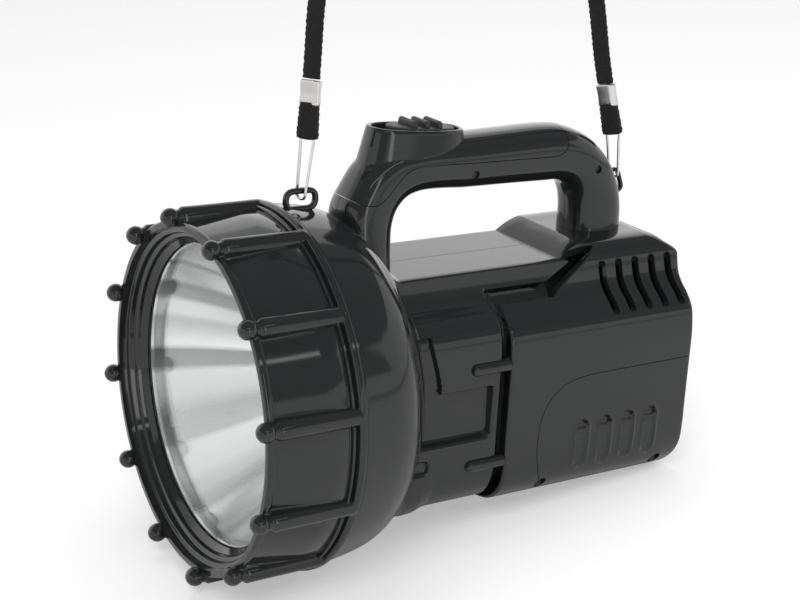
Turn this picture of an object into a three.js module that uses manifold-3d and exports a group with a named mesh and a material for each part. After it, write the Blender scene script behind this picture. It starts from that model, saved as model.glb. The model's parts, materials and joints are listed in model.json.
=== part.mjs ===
import * as THREE from 'three';
import { mergeVertices } from 'three/addons/utils/BufferGeometryUtils.js';
import Module from 'manifold-3d';

// A handheld searchlight: a screw-on bezel with twelve grip ribs, a domed head, a body split down the
// middle, a rear housing for the battery, a top handle with a slide switch, and a carrying strap.
// Lengths are in millimetres and angles in degrees. The lamp is drawn along its own axis, the X axis:
// the beam leaves along -X, +Z is up, +Y is the user's right-hand side, and x = 0 is at the centres of
// the balls on the ribs. The last lines stand it on the floor, on its bezel and its heel.

const wasm = await Module();
wasm.setup();

// Fits
const fit = 0.3;                   // gap between pieces that touch, slide or screw together
const overrun = 300;               // how far a cut runs past the piece
const roundSides = 36;             // sides of the large round pieces
const innerSides = 24;             // sides of what lies inside them
const smallSides = 10;             // sides of screws, bosses and ribs
const cornerSides = 3;             // sides of a rounded corner

// Bezel
const ribCount = 12;
const ribTurn = -10.8;             // from straight up towards the user's left
const ribCircleRadius = 80;
const ribBallRadius = 4.3;
const ribBarRadius = 4;
const ribNeckRadius = 2.9;
const ribNeckLength = 1.3;
const ribBevel = 1.2;
const ribSides = 8;
const bezelLength = 42.8;
const rimSetback = 1.5;            // front rim behind the ball centres
const rimInset = 1.5;              // front rim inside the rib circle
const flangeStandOut = 3.9;        // rear flange outside the rib circle
const flangeWidth = 3.3;
const panelBorder = 3;
const panelRecess = 1;
const panelTaper = 3;              // how much wider the panels are at the rear
const beadWidth = 1.3;
const beadGroove = 1.1;
const mouthDepth = 11.5;
const bezelWall = 4;

// Optics
const lensStep = 4.4;              // lens edge inside the thread
const lensThickness = 3;
const lensLip = 2.3;
const gasketWidth = 4;
const gasketThickness = 1.5;
const reflectorFlange = 1.6;
const reflectorRoom = 2.2;         // between the bowl and the collar
const reflectorWall = 1.8;
const neckRadius = 12;
const neckLength = 6.5;            // bowl's neck behind its curve
const bulbRadius = 4.6;
const bulbLength = 22;
const bulbCapRadius = 7;
const bulbCapLength = 6;
const bulbFlangeRadius = 13.4;
const bulbFlangeThickness = 1.5;
const holderRadius = 26;
const holderNeckRadius = 9;
const holderLength = 4.8;

// Head housing
const collarWall = 2.7;
const domeStep = 1.3;              // dome inside the bezel's flange
const domeLength = 50.4;
const headTail = 7.7;              // head behind the dome's curve
const headWall = 3.5;
const headPocketRadius = 38;
const headPocketLength = 14;
const wiringRadius = 20;
const wiringDepth = 10;
const flareReach = 14;             // how far the flare stands out of the body's section
const flareLength = 29;
const sidePocketLength = 4.5;
const sidePocketDepth = 3;
const sidePocketCorner = 2;
const sidePocketTop = 34;
const sidePocketBottom = 5;

// Front body
const bodyHalfWidth = 48;
const deckHeight = 51.3;
const bodyDepth = 58.5;            // lamp axis to the underside
const bodyLength = 36.2;
const bodyWall = 5;
const channelWidth = 4.2;
const channelDepth = 2;
const tongueLength = 10.8;
const jointDrop = 14;              // channel between the neck and the rear housing, below the deck
const slantRun = 17;
const slantDrop = 1;               // top of the slant below the roof
const neckReach = 36;              // neck behind the channel, up to the foot of the slant
const rampRun = 13;
const rampHalfWidth = 24;
const recessLength = 30;
const recessAhead = 5.8;           // part of the recess that runs out into the head
const recessDepth = 3;
const recessTop = 3;
const recessBottom = -23;
const recessCorner = 4;
const barRadius = 3;
const barLength = 20.5;
const upperBarHeight = 12;
const lowerBarHeight = -35;

// Rear housing
const housingHalfWidth = 50;
const roofRise = 6.7;              // roof above the deck
const housingDepth = 62;
const housingWall = 3.2;
const roofCorner = 11;
const heelCorner = 8;
const sideCorner = 5;
const ventCount = 5;
const ventPitch = 10;
const ventWidth = 3.4;
const ventTopDrop = 8.4;           // below the roof
const ventBottomDrop = 9.3;        // below the channel
const lastVentSetback = 7.5;       // last vent in front of the housing's rear face
const ventInnerEdge = 29;

// Side covers
const coverThickness = 2.2;
const coverSetback = 17.8;         // behind the housing's front edge
const coverTop = -0.2;
const coverRise = 5;               // lower edge above the housing's underside
const bayHeight = 34;
const bayFrontSetback = 13.7;      // behind the cover's front edge
const bayRearSetback = 12.5;       // in front of the housing's rear face
const bayDrop = 9.8;               // below the cover's upper edge
const bayCorner = 5;
const scoopCount = 4;
const scoopPitch = 13.8;
const firstScoop = 26.2;           // behind the cover's front edge
const scoopHalfWidth = 3.7;
const scoopLength = 23.5;
const scoopRise = 11.5;            // above the cover's lower edge
const scoopDepth = 1.4;
const scoopFade = 0.8;             // how much shallower a scoop's lower end is
const coverScrewRise = 4.5;        // above the cover's lower edge
const frontCoverScrew = 7.1;       // behind the cover's front edge
const rearCoverScrew = 12.7;       // in front of the housing's rear face
const bossRadius = 4.2;
const bossLength = 9;

// Screws
const screwHeadRadius = 2.7;
const screwHeadHeight = 1.8;
const screwRadius = 1.5;
const coverScrewLength = 9;
const handleScrewLength = 20;
const screwSink = 1.6;             // heads below the face

// Handle
const handleSetback = 30.2;        // front edge of the handle ahead of the head's back
const handleLength = 162;
const handleHeight = 59;
const handleHalfWidth = 14;
const handleSquareness = 2.8;      // exponent of the grip's rounded section
const handleRings = 21;
const handleSides = 12;
const gripScrewShares = [[0.404, 0.695], [0.842, 0.637]];   // along and up the handle

// Switch turret on the handle
const turretPlaceShare = 0.098;    // front edge, along the handle
const turretLengthShare = 0.296;   // of the handle's length
const turretHalfWidth = 11.5;
const turretRise = 1.9;            // rear edge above the handle's highest place
const turretFall = 3.4;            // front edge above the rear one
const turretDepth = 12.2;          // rear edge above the foot inside the grip
const turretFlare = 2.6;           // base beyond the rim
const turretWall = 2.2;
const rimChamfer = 0.8;
const turretRoundness = 2.4;
const turretSides = 18;
const wellDepth = 4.7;             // below the rear edge
const wellFloorThickness = 1.3;
const knobFrontRoom = 1.4;         // left in front of the knob when it is slid forward
const knobRearRoom = 2.2;
const knobTravel = 6;
const knobStandOut = 0.5;          // knob's face above the rim
const knobRibCount = 3;
const knobRibPitch = 6.6;
const knobRibWidth = 2.4;
const knobRibLength = 13;
const knobRibHeight = 3;
const stemLength = 6;
const stemWidth = 4;
const switchLength = 20;
const switchWidth = 12;
const switchHeight = 10.3;
const switchAhead = 8;             // front of the switch ahead of the stem

// Battery
const batteryLength = 84;
const batteryRoom = 2.3;           // in front of it
const batteryWidth = 48;
const batteryHeight = 70;
const batteryCorner = 2.5;
const terminalLength = 6.3;
const terminalWidth = 0.8;
const terminalHeight = 8;
const terminalInset = 12;

// Strap eyes, clips, crimps and strap
const eyeLength = 17.3;
const eyeHeight = 10.8;
const eyeBar = 2.7;
const eyeThickness = 3;
const eyeCorner = 4.4;
const eyeGapToBezel = 2.1;
const eyeSink = 2.8;
const rearEyeLength = 13.5;
const rearEyeHeight = 7.8;
const rearEyeBar = 2;
const rearEyeCorner = 3;
const rearEyeShares = [0.976, 0.461];    // centre, along the handle's length and height
const rearEyeLean = 68.6;
const wireRadius = 0.7;
const wireSides = 6;
const wireSteps = 20;
const wireTwist = 0.25;            // share of the strap's turn that the wires keep down at the eye
const foldWidth = 10.4;
const foldThickness = 5.4;
const foldCorner = 2.2;
const crimpWidth = 9.4;
const crimpThickness = 5.4;
const crimpCorner = 1.2;
const strapWidth = 8;
const strapSides = 8;
const strapSteps = 26;
const strapFaceTurn = 50;          // strap's width, from the lamp's axis towards the user's left
const crimpLength = 10.9;
const foldLength = 15.5;
const frontStrand = { top: [58.3, 138.1], lean: -2.2 };     // where the strap leaves its crimp
const rearStrand = { top: [219.4, 127.1], lean: 16.4 };
const strapRoute = [
  [58.32, 138.5], [58.7, 149], [59.7, 171.7], [63.5, 192], [75, 213], [95, 228], [122, 236],
  [150, 233], [175, 220], [193, 202], [204.6, 184], [210.4, 163], [215.2, 142.4], [219.27, 127.5],
];

// Outlines, as shares of the sizes that they follow
// Steps of the bezel's mouth: depth, then width of the front face, from the rim to the lens
const mouthShares = [
  [0, 0.273], [0.304, 0.318], [0.348, 0.5], [0.565, 0.536], [0.609, 0.7], [0.783, 0.736], [0.95, 1],
];
// Dome's silhouette: length, radius
const domeShares = [
  [0, 1], [0.147, 0.988], [0.306, 0.973], [0.425, 0.956], [0.544, 0.924], [0.663, 0.867],
  [0.782, 0.781], [0.901, 0.674], [1, 0.569],
];
// Flare between dome and body: distance in front of the body, stand-out
const flareShares = [
  [1, 1], [0.783, 0.871], [0.645, 0.714], [0.541, 0.514], [0.438, 0.329], [0.334, 0.186], [0.231, 0.086],
  [0.128, 0.029], [0, 0],
];
// Sections of body and housing, left half: half width, then height above or depth below the axis
const bodyShares = [
  [0, 1], [0.563, 1], [0.604, 0.877], [0.667, 0.741], [0.875, 0.663], [0.97, 0.53], [1, 0.292],
  [1, -0.598], [0.975, -0.74], [0.9, -0.865], [0.77, -0.96], [0.54, -1], [0, -1],
];
const housingShares = [
  [0, 1], [0.46, 1], [0.58, 0.965], [0.65, 0.88], [0.69, 0.655], [0.86, 0.545], [0.96, 0.43],
  [1, 0.2], [1, -0.581], [0.975, -0.73], [0.9, -0.85], [0.77, -0.945], [0.6, -0.985], [0.42, -1], [0, -1],
];
// Handle from its front foot to its rear foot: outer edge along and up, inner edge along and up, width
const handleStationShares = [
  [0.000, 0.080, 0.169, -0.022, 1.321],
  [0.001, 0.317, 0.170, 0.164, 1.164],
  [0.007, 0.495, 0.175, 0.317, 1.071],
  [0.031, 0.631, 0.191, 0.427, 1.021],
  [0.071, 0.797, 0.222, 0.507, 1.000],
  [0.133, 0.927, 0.259, 0.546, 1.000],
  [0.219, 0.971, 0.299, 0.559, 1.000],
  [0.306, 0.978, 0.349, 0.558, 1.000],
  [0.398, 0.981, 0.398, 0.556, 1.000],
  [0.546, 0.992, 0.546, 0.551, 1.000],
  [0.676, 1.000, 0.670, 0.544, 1.000],
  [0.744, 0.983, 0.716, 0.542, 1.000],
  [0.815, 0.915, 0.750, 0.520, 1.000],
  [0.870, 0.812, 0.773, 0.469, 0.986],
  [0.920, 0.673, 0.787, 0.393, 0.971],
  [0.960, 0.503, 0.793, 0.305, 0.957],
  [0.986, 0.317, 0.795, 0.215, 0.971],
  [0.996, 0.131, 0.795, 0.122, 1.057],
  [0.999, 0.029, 0.793, 0.029, 1.214],
];
// Seam under the handle's top cover: along and up
const seamShares = [
  [-0.040, 0.664], [-0.003, 0.614], [0.022, 0.564], [0.052, 0.537], [0.086, 0.541], [0.114, 0.588],
  [0.142, 0.673], [0.170, 0.751], [0.201, 0.792], [0.244, 0.803], [0.386, 0.793], [0.528, 0.788],
  [0.664, 0.783], [0.701, 0.797], [0.721, 0.842], [0.727, 0.910], [0.722, 1.029],
];
// Side cover: along from its lower front corner, up from its lower edge to its upper edge
const coverShares = [
  [0, 0], [0, 0.217], [0.024, 0.724], [0.118, 0.914], [0.185, 0.986], [0.316, 1], [1.2, 1], [1.2, 0],
];

// A leg of a wire clip, from the strap's fold down to its hook: share of the way up, share of its spread
// at the fold, share of the way clear of the eye, and drop below the hook in shares of the wire's radius
const wireLegShares = [
  [1, 1, 0, 0], [0.8, 1, 0, 0], [0.45, 0, 1, 0], [0.2, 0, 1, 0], [0.07, 0, 1, 0], [0, 0, 0.85, 0.5],
  [0, 0, 0.45, 1.43],
];

// Places along the lamp, from front to rear
const bezelFront = rimSetback;
const bezelRear = bezelFront + bezelLength;
const lensSeat = bezelFront + mouthDepth;
const lensFront = lensSeat + fit;
const gasketFront = lensFront + lensThickness + fit;
const pocketEnd = gasketFront + gasketThickness + fit;
const reflectorFront = pocketEnd + fit;
const collarFront = reflectorFront + reflectorFlange + fit;
const domeFront = bezelRear + fit;
const headBack = domeFront + domeLength + headTail;
const bodyFront = headBack + fit;
const bodyRear = bodyFront + bodyLength;
const housingFront = bodyRear + fit;
const housingLength = tongueLength - fit + batteryRoom + batteryLength + heelCorner + housingWall;
const housingRear = housingFront + housingLength;
const coverFront = housingFront + coverSetback;

// Heights, from the deck and the underside
const roofHeight = deckHeight + roofRise;
const slantTop = roofHeight - slantDrop;
const jointLine = deckHeight - jointDrop;
const coverBottom = coverRise - housingDepth;
const scoopBottom = coverBottom + scoopRise;
const coverScrewHeight = coverBottom + coverScrewRise;

// Handle, turret and knob
const handleFront = headBack - handleSetback;
const turretFront = handleFront + handleLength * turretPlaceShare;
const turretLength = handleLength * turretLengthShare;
const turretRearHeight = deckHeight + handleHeight + turretRise;
const turretFrontHeight = turretRearHeight + turretFall;
const turretBaseHeight = turretRearHeight - turretDepth;
const wellFloor = turretRearHeight - wellDepth;
const knobRear = turretFront + turretLength - turretWall - knobRearRoom;
const knobLength = turretLength - 2 * turretWall - knobRearRoom - knobTravel - knobFrontRoom;
const knobCentre = knobRear - knobLength / 2;
const stemFront = knobCentre - stemLength / 2;
const switchFront = stemFront - switchAhead;

// Radii, from the rib circle inwards
const rimRadius = ribCircleRadius - rimInset;
const flangeRadius = ribCircleRadius + flangeStandOut;
const threadRadius = rimRadius - bezelWall - fit;
const lensRadius = threadRadius - lensStep;
const lipRadius = lensRadius - lensLip;
const collarInnerRadius = threadRadius - collarWall;
const reflectorMouthRadius = collarInnerRadius - reflectorWall - reflectorRoom;
const domeRadius = flangeRadius - domeStep;

const radians = THREE.MathUtils.degToRad;

// Finishes
const glossBlack = new THREE.MeshStandardMaterial({ color: 0x26282a, roughness: 0.25, metalness: 0 });
const softBlack = new THREE.MeshStandardMaterial({ color: 0x1b1c1d, roughness: 0.8, metalness: 0 });
const clearGlass = new THREE.MeshStandardMaterial({
  color: 0xf2f6f8, roughness: 0.05, metalness: 0, transparent: true, opacity: 0.35,
});
const mirrorCoat = new THREE.MeshStandardMaterial({ color: 0xe4e6e8, roughness: 0.08, metalness: 1 });
const brightNickel = new THREE.MeshStandardMaterial({ color: 0xc9c9c6, roughness: 0.2, metalness: 1 });
const ceramic = new THREE.MeshStandardMaterial({ color: 0xd8d4c8, roughness: 0.6, metalness: 0 });
const darkSteel = new THREE.MeshStandardMaterial({ color: 0x2b2b2b, roughness: 0.4, metalness: 0.8 });
const batteryGrey = new THREE.MeshStandardMaterial({ color: 0x4a4d50, roughness: 0.6, metalness: 0 });
const strapBlack = new THREE.MeshStandardMaterial({ color: 0x141414, roughness: 0.9, metalness: 0 });

// Turns a closed geometry into a solid, with its shared vertices joined and its flat slivers left out.
function solidOf(geometry) {
  const bare = geometry.clone();
  bare.deleteAttribute('normal');
  bare.deleteAttribute('uv');
  const welded = mergeVertices(bare);
  const position = welded.getAttribute('position');
  const triVerts = [];
  for (let start = 0; start < welded.index.count; start += 3) {
    const [a, b, c] = [0, 1, 2].map((corner) => welded.index.getX(start + corner));
    if (a !== b && b !== c && c !== a) triVerts.push(a, b, c);
  }
  return new wasm.Manifold(new wasm.Mesh({
    numProp: 3,
    vertProperties: new Float32Array(position.array),
    triVerts: new Uint32Array(triVerts),
  }));
}

function meshOf(name, solid, material) {
  const { vertProperties, triVerts } = solid.getMesh();
  const geometry = new THREE.BufferGeometry();
  geometry.setAttribute('position', new THREE.BufferAttribute(vertProperties, 3));
  geometry.setIndex(new THREE.BufferAttribute(triVerts, 1));
  geometry.computeVertexNormals();
  const mesh = new THREE.Mesh(geometry, material);
  mesh.name = name;
  return mesh;
}

function counterClockwise(outline) {
  const points = outline.map(([u, v]) => new THREE.Vector2(u, v));
  return THREE.ShapeUtils.area(points) < 0 ? points.reverse() : points;
}

// Moves every edge of a closed outline outwards by one distance, or inwards where it is negative.
function grown(outline, distance) {
  const points = counterClockwise(outline);
  return points.map((point, index) => {
    const before = points[(index + points.length - 1) % points.length];
    const after = points[(index + 1) % points.length];
    const edgeIn = point.clone().sub(before).normalize();
    const edgeOut = after.clone().sub(point).normalize();
    const normal = new THREE.Vector2(edgeIn.y + edgeOut.y, -edgeIn.x - edgeOut.x);
    const reach = distance / (1 + edgeIn.dot(edgeOut));
    return [point.x + normal.x * reach, point.y + normal.y * reach];
  });
}

// An outline with its corners rounded by curves that start one radius away from each corner.
function roundedShape(outline, radii) {
  const points = counterClockwise(outline.map(([u, v], index) => [u, v, index]));
  const flipped = THREE.ShapeUtils.area(outline.map(([u, v]) => new THREE.Vector2(u, v))) < 0;
  const shape = new THREE.Shape();
  points.forEach((point, index) => {
    const radius = Array.isArray(radii) ? radii[flipped ? points.length - 1 - index : index] : radii;
    const before = points[(index + points.length - 1) % points.length];
    const after = points[(index + 1) % points.length];
    const start = point.clone().add(before.clone().sub(point).setLength(radius));
    const end = point.clone().add(after.clone().sub(point).setLength(radius));
    if (index === 0) shape.moveTo(start.x, start.y);
    else shape.lineTo(start.x, start.y);
    if (radius > 0) shape.quadraticCurveTo(point.x, point.y, end.x, end.y);
  });
  shape.closePath();
  return shape;
}

const shapeOf = (outline) => new THREE.Shape(counterClockwise(outline));

// Turns an outline of [along, radius] points about the lamp's axis.
function revolved(outline, sides = roundSides) {
  const profile = counterClockwise(outline.map(([along, radius]) => [radius, along]));
  const onAxis = profile.findIndex((point, index) => {
    const before = profile[(index + profile.length - 1) % profile.length];
    return point.x === 0 && before.x === 0;
  });
  if (onAxis >= 0) profile.push(...profile.splice(0, onAxis));
  else profile.push(profile[0].clone());
  const geometry = new THREE.LatheGeometry(profile, sides);
  return solidOf(mergeVertices(geometry).rotateZ(-Math.PI / 2));
}

// Extrudes a section of [y, z] points along the lamp.
function alongX(shape, from, to) {
  const geometry = new THREE.ExtrudeGeometry(shape, {
    depth: to - from, bevelEnabled: false, curveSegments: cornerSides,
  });
  const turn = new THREE.Matrix4().makeBasis(
    new THREE.Vector3(0, 1, 0), new THREE.Vector3(0, 0, 1), new THREE.Vector3(1, 0, 0),
  );
  return solidOf(geometry.applyMatrix4(turn).translate(from, 0, 0));
}

// Extrudes a side view of [x, z] points across the lamp, from one y to a larger one.
function alongY(shape, from, to) {
  const geometry = new THREE.ExtrudeGeometry(shape, {
    depth: to - from, bevelEnabled: false, curveSegments: cornerSides,
  });
  return solidOf(geometry.rotateX(Math.PI / 2).translate(0, to, 0));
}

// Extrudes a plan of [x, y] points upwards.
function alongZ(shape, from, to) {
  const geometry = new THREE.ExtrudeGeometry(shape, {
    depth: to - from, bevelEnabled: false, curveSegments: cornerSides,
  });
  return solidOf(geometry.translate(0, 0, from));
}

function block([x0, x1], [y0, y1], [z0, z1]) {
  const geometry = new THREE.BoxGeometry(x1 - x0, y1 - y0, z1 - z0);
  return solidOf(geometry.translate((x0 + x1) / 2, (y0 + y1) / 2, (z0 + z1) / 2));
}

// Closes a stack of rings, each with the same number of points, into a solid.
function lofted(rings) {
  const sides = rings[0].length;
  const points = rings.flat();
  const triangles = [];
  for (let ring = 0; ring + 1 < rings.length; ring += 1) {
    for (let side = 0; side < sides; side += 1) {
      const here = ring * sides + side;
      const next = ring * sides + (side + 1) % sides;
      triangles.push([here, next, here + sides], [next, next + sides, here + sides]);
    }
  }
  [rings[0], rings[rings.length - 1]].forEach((ring, end) => {
    const first = end * (rings.length - 1) * sides;
    const centre = points.push(ring.reduce((sum, point) => sum.add(point), new THREE.Vector3())
      .divideScalar(sides)) - 1;
    for (let side = 0; side < sides; side += 1) {
      const edge = [first + side, first + (side + 1) % sides];
      triangles.push(end ? [centre, edge[0], edge[1]] : [centre, edge[1], edge[0]]);
    }
  });
  const volume = triangles.reduce((sum, [a, b, c]) => (
    sum + points[a].dot(new THREE.Vector3().crossVectors(points[b], points[c]))), 0);
  const geometry = new THREE.BufferGeometry().setFromPoints(points);
  geometry.setIndex((volume < 0 ? triangles.map(([a, b, c]) => [a, c, b]) : triangles).flat());
  return solidOf(geometry);
}

// A rounded ring: a point of the superellipse at one angle, for unit half widths.
function superellipse(angle, exponent) {
  const soften = (value) => Math.sign(value) * Math.abs(value) ** (2 / exponent);
  return [soften(Math.cos(angle)), soften(Math.sin(angle))];
}

const union = (solids) => solids.reduce((whole, solid) => whole.add(solid));
const cut = (solid, tools) => tools.reduce((rest, tool) => rest.subtract(tool), solid);
const leftSide = () => block([-overrun, overrun], [-overrun, -fit / 2], [-overrun, overrun]);
const rightSide = () => block([-overrun, overrun], [fit / 2, overrun], [-overrun, overrun]);
const bothSides = (make) => union([-1, 1].map(make));

// Places shares of a half section on its width, height and depth, and mirrors it to the other side.
function section(shares, halfWidth, height, depth) {
  const left = shares.map(([across, up]) => [-across * halfWidth, up * (up > 0 ? height : depth)]);
  const right = left.slice(1, -1).reverse().map(([y, z]) => [-y, z]);
  return [...left, ...right];
}

const bodySection = () => section(bodyShares, bodyHalfWidth, deckHeight, bodyDepth);
const housingSection = () => section(housingShares, housingHalfWidth, roofHeight, housingDepth);

// The bezel's section: rim, recessed panels, bead and flange outside, thread, lens pocket and steps inside.
function bezelOutline() {
  const flangeFront = bezelRear - flangeWidth;
  const beadRear = flangeFront - beadGroove;
  const beadFront = beadRear - beadWidth;
  const panelRear = beadFront - beadGroove;
  const panelFront = bezelFront + panelBorder;
  const rearRadius = rimRadius + panelTaper;
  const steps = mouthShares.map(([depth, inward]) => [
    bezelFront + mouthDepth * depth, rimRadius - (rimRadius - lipRadius) * inward,
  ]);
  return [
    [bezelFront, rimRadius], ...steps, [lensSeat, lipRadius], [lensSeat, lensRadius + fit],
    [pocketEnd, lensRadius + fit], [pocketEnd, threadRadius + fit], [bezelRear, threadRadius + fit],
    [bezelRear, flangeRadius], [flangeFront + panelRecess, flangeRadius],
    [flangeFront, rearRadius + panelRecess], [flangeFront, rearRadius - panelRecess],
    [beadRear, rearRadius - panelRecess], [beadRear, rearRadius + panelRecess / 2],
    [beadFront, rearRadius + panelRecess / 2], [beadFront, rearRadius - panelRecess],
    [panelRear, rearRadius - panelRecess], [panelRear, rearRadius - panelRecess / 2],
    [panelFront + panelRecess, rimRadius - panelRecess], [panelFront, rimRadius + panelRecess / 4],
  ];
}

// One grip rib: a ball, a neck, and a bar with a bevelled nose that runs back into the flange.
function ribOutline() {
  const ballEnd = Math.sqrt(ribBallRadius ** 2 - ribNeckRadius ** 2);
  const noseX = ballEnd + ribNeckLength;
  const tail = bezelRear - fit;
  const ballSteps = 4;
  const ball = Array.from({ length: ballSteps }, (_, step) => {
    const angle = (step / ballSteps) * (Math.PI - Math.asin(ribNeckRadius / ribBallRadius));
    return [-ribBallRadius * Math.cos(angle), ribBallRadius * Math.sin(angle)];
  });
  return [
    ...ball, [ballEnd, ribNeckRadius], [noseX, ribNeckRadius], [noseX + ribBevel, ribBarRadius],
    [tail - ribBevel, ribBarRadius], [tail, ribBarRadius - ribBevel], [tail, 0],
  ];
}

function bezelRing() {
  const ribs = Array.from({ length: ribCount }, (_, index) => {
    const angle = radians(ribTurn + (360 / ribCount) * index);
    const place = new THREE.Vector3(0, -ribCircleRadius * Math.sin(angle), ribCircleRadius * Math.cos(angle));
    return revolved(ribOutline(), ribSides).translate(place.toArray());
  });
  return union([revolved(bezelOutline()), ...ribs]);
}

function frontLens() {
  return revolved([
    [lensFront, 0], [lensFront, lensRadius], [lensFront + lensThickness, lensRadius],
    [lensFront + lensThickness, 0],
  ]);
}

function lensGasket() {
  const inner = lensRadius - gasketWidth;
  const rear = gasketFront + gasketThickness;
  return revolved([[gasketFront, inner], [gasketFront, lensRadius], [rear, lensRadius], [rear, inner]]);
}

const holderRear = headBack - headWall - fit;
const holderFront = holderRear - holderLength;
const bulbFlangeFront = holderFront - fit - bulbFlangeThickness;
const bulbCapFront = bulbFlangeFront - bulbCapLength;
const neckEnd = bulbFlangeFront - fit;

// The bowl is a paraboloid from its mouth to its neck, so the rays from its focus leave it parallel.
const bowlRear = neckEnd - neckLength;
const reflectorFocus = (reflectorMouthRadius ** 2 - neckRadius ** 2) / (4 * (bowlRear - reflectorFront));
const bowlX = (radius) => bowlRear + (neckRadius ** 2 - radius ** 2) / (4 * reflectorFocus);

function reflector() {
  const bowlSteps = 7;
  const flangeRear = reflectorFront + reflectorFlange;
  const inner = Array.from({ length: bowlSteps + 1 }, (_, step) => {
    const radius = neckRadius + (reflectorMouthRadius - neckRadius) * (step / bowlSteps);
    return [bowlX(radius), radius];
  });
  const outer = inner.map(([x, radius]) => {
    const slope = radius / (2 * reflectorFocus);
    const reach = reflectorWall / Math.hypot(1, slope);
    return [x + reach, radius + slope * reach];
  }).filter(([x]) => x > flangeRear);
  return revolved([
    ...inner, [reflectorFront, threadRadius - fit], [flangeRear, threadRadius - fit],
    [flangeRear, reflectorMouthRadius + reflectorWall], ...outer.reverse(),
    [neckEnd, neckRadius + reflectorWall], [neckEnd, neckRadius],
  ], innerSides);
}

function bulbCapsule() {
  const rear = bulbCapFront - fit;
  const tip = rear - bulbLength;
  const noseSteps = 5;
  const nose = Array.from({ length: noseSteps + 1 }, (_, step) => {
    const angle = (step / noseSteps) * (Math.PI / 2);
    return [tip + bulbRadius * (1 - Math.cos(angle)), bulbRadius * Math.sin(angle)];
  });
  return revolved([...nose, [rear, bulbRadius], [rear, 0]], smallSides);
}

function bulbBase() {
  const rear = bulbFlangeFront + bulbFlangeThickness;
  return revolved([
    [bulbCapFront, 0], [bulbCapFront, bulbCapRadius], [bulbFlangeFront, bulbCapRadius],
    [bulbFlangeFront, bulbFlangeRadius], [rear, bulbFlangeRadius], [rear, 0],
  ], innerSides);
}

function bulbHolder() {
  const step = (holderFront + holderRear) / 2;
  return revolved([
    [holderFront, 0], [holderFront, holderNeckRadius], [step, holderNeckRadius], [step, holderRadius],
    [holderRear, holderRadius], [holderRear, 0],
  ], innerSides);
}

// The dome's silhouette from its front edge to its back, as a smooth curve.
function domeCurve(grow, domeSteps = 10) {
  const knots = domeShares.map(([along, radius]) => (
    new THREE.Vector2(domeFront + domeLength * along, domeRadius * radius + grow)));
  return new THREE.SplineCurve(knots).getPoints(domeSteps).map((point) => [point.x, point.y]);
}

// The concave flare that carries the dome's curve into the body's section.
function flare(grow) {
  const rings = flareShares.map(([ahead, stand]) => (
    grown(bodySection(), flareReach * stand + grow).map(([y, z]) => (
      new THREE.Vector3(headBack - flareLength * ahead, y, z)))));
  return lofted(rings);
}

function headOutside(grow) {
  const curve = domeCurve(grow);
  const back = curve[curve.length - 1][0];
  return union([
    revolved([
      [collarFront, 0], [collarFront, threadRadius], [domeFront - grow, threadRadius],
      ...curve, [back, 0],
    ]),
    flare(grow).intersect(revolved([
      [domeFront, 0], [domeFront, domeRadius + grow], ...domeCurve(grow).slice(1),
      [headBack, domeRadius], [headBack, 0],
    ])),
  ]);
}

// The recess in the side of the body, which runs out into the flare.
function sideRecess(side) {
  const rear = bodyFront + recessLength;
  const shape = roundedShape([
    [headBack - recessAhead, recessBottom], [rear, recessBottom], [rear, recessTop],
    [headBack - recessAhead, recessTop],
  ], recessCorner);
  const floor = bodyHalfWidth - recessDepth;
  return side < 0 ? alongY(shape, -overrun, -floor) : alongY(shape, floor, overrun);
}

// The slim pocket where the flare meets the body's shoulder.
function sidePocket(side) {
  const rear = headBack - sidePocketLength;
  const shape = roundedShape([
    [rear - sidePocketLength, sidePocketBottom], [rear, sidePocketBottom],
    [rear, sidePocketTop], [rear - sidePocketLength, sidePocketTop],
  ], sidePocketCorner);
  const floor = bodyHalfWidth - sidePocketDepth;
  return side < 0 ? alongY(shape, -overrun, -floor) : alongY(shape, floor, overrun);
}

function headHousing() {
  const cavityCurve = domeCurve(-headWall, 8).map(([x, radius]) => [x, Math.min(radius, collarInnerRadius)])
    .filter(([x]) => x < headBack - headPocketLength);
  const cavityEnd = cavityCurve[cavityCurve.length - 1][0];
  const cavity = revolved([
    [collarFront - overrun, 0], [collarFront - overrun, collarInnerRadius], ...cavityCurve,
    [cavityEnd, headPocketRadius], [headBack - headWall, headPocketRadius],
    [headBack - headWall, wiringRadius], [headBack + overrun, wiringRadius], [headBack + overrun, 0],
  ], innerSides);
  return cut(headOutside(0), [
    cavity, bothSides(sideRecess), bothSides(sidePocket), frontEyeSeat(),
  ]);
}

// The slanted side view shared by the neck of the body and the rear housing.
function slantLine() {
  const foot = housingFront + neckReach;
  return [[foot, jointLine], [foot + slantRun, slantTop], [foot + slantRun, overrun]];
}

// Everything that the neck of the body fills behind the channel, seen from the side, and a gap's growth.
function neckSide(grow) {
  const line = slantLine().map(([x, z]) => [x - fit + grow, z + fit - grow]);
  return shapeOf([[bodyFront, jointLine + fit - grow], ...line, [bodyFront, overrun]]);
}

function ramp(grow) {
  const foot = housingFront + neckReach;
  const rampFoot = foot + slantRun - rampRun;
  const outline = [
    [rampFoot, deckHeight - bodyWall], [rampFoot, deckHeight], [foot + slantRun, slantTop + fit],
    [foot + slantRun, deckHeight - bodyWall],
  ];
  return alongY(shapeOf(grown(outline, grow)), -rampHalfWidth - grow, rampHalfWidth + grow)
    .intersect(alongY(neckSide(grow), -overrun, overrun));
}

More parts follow.
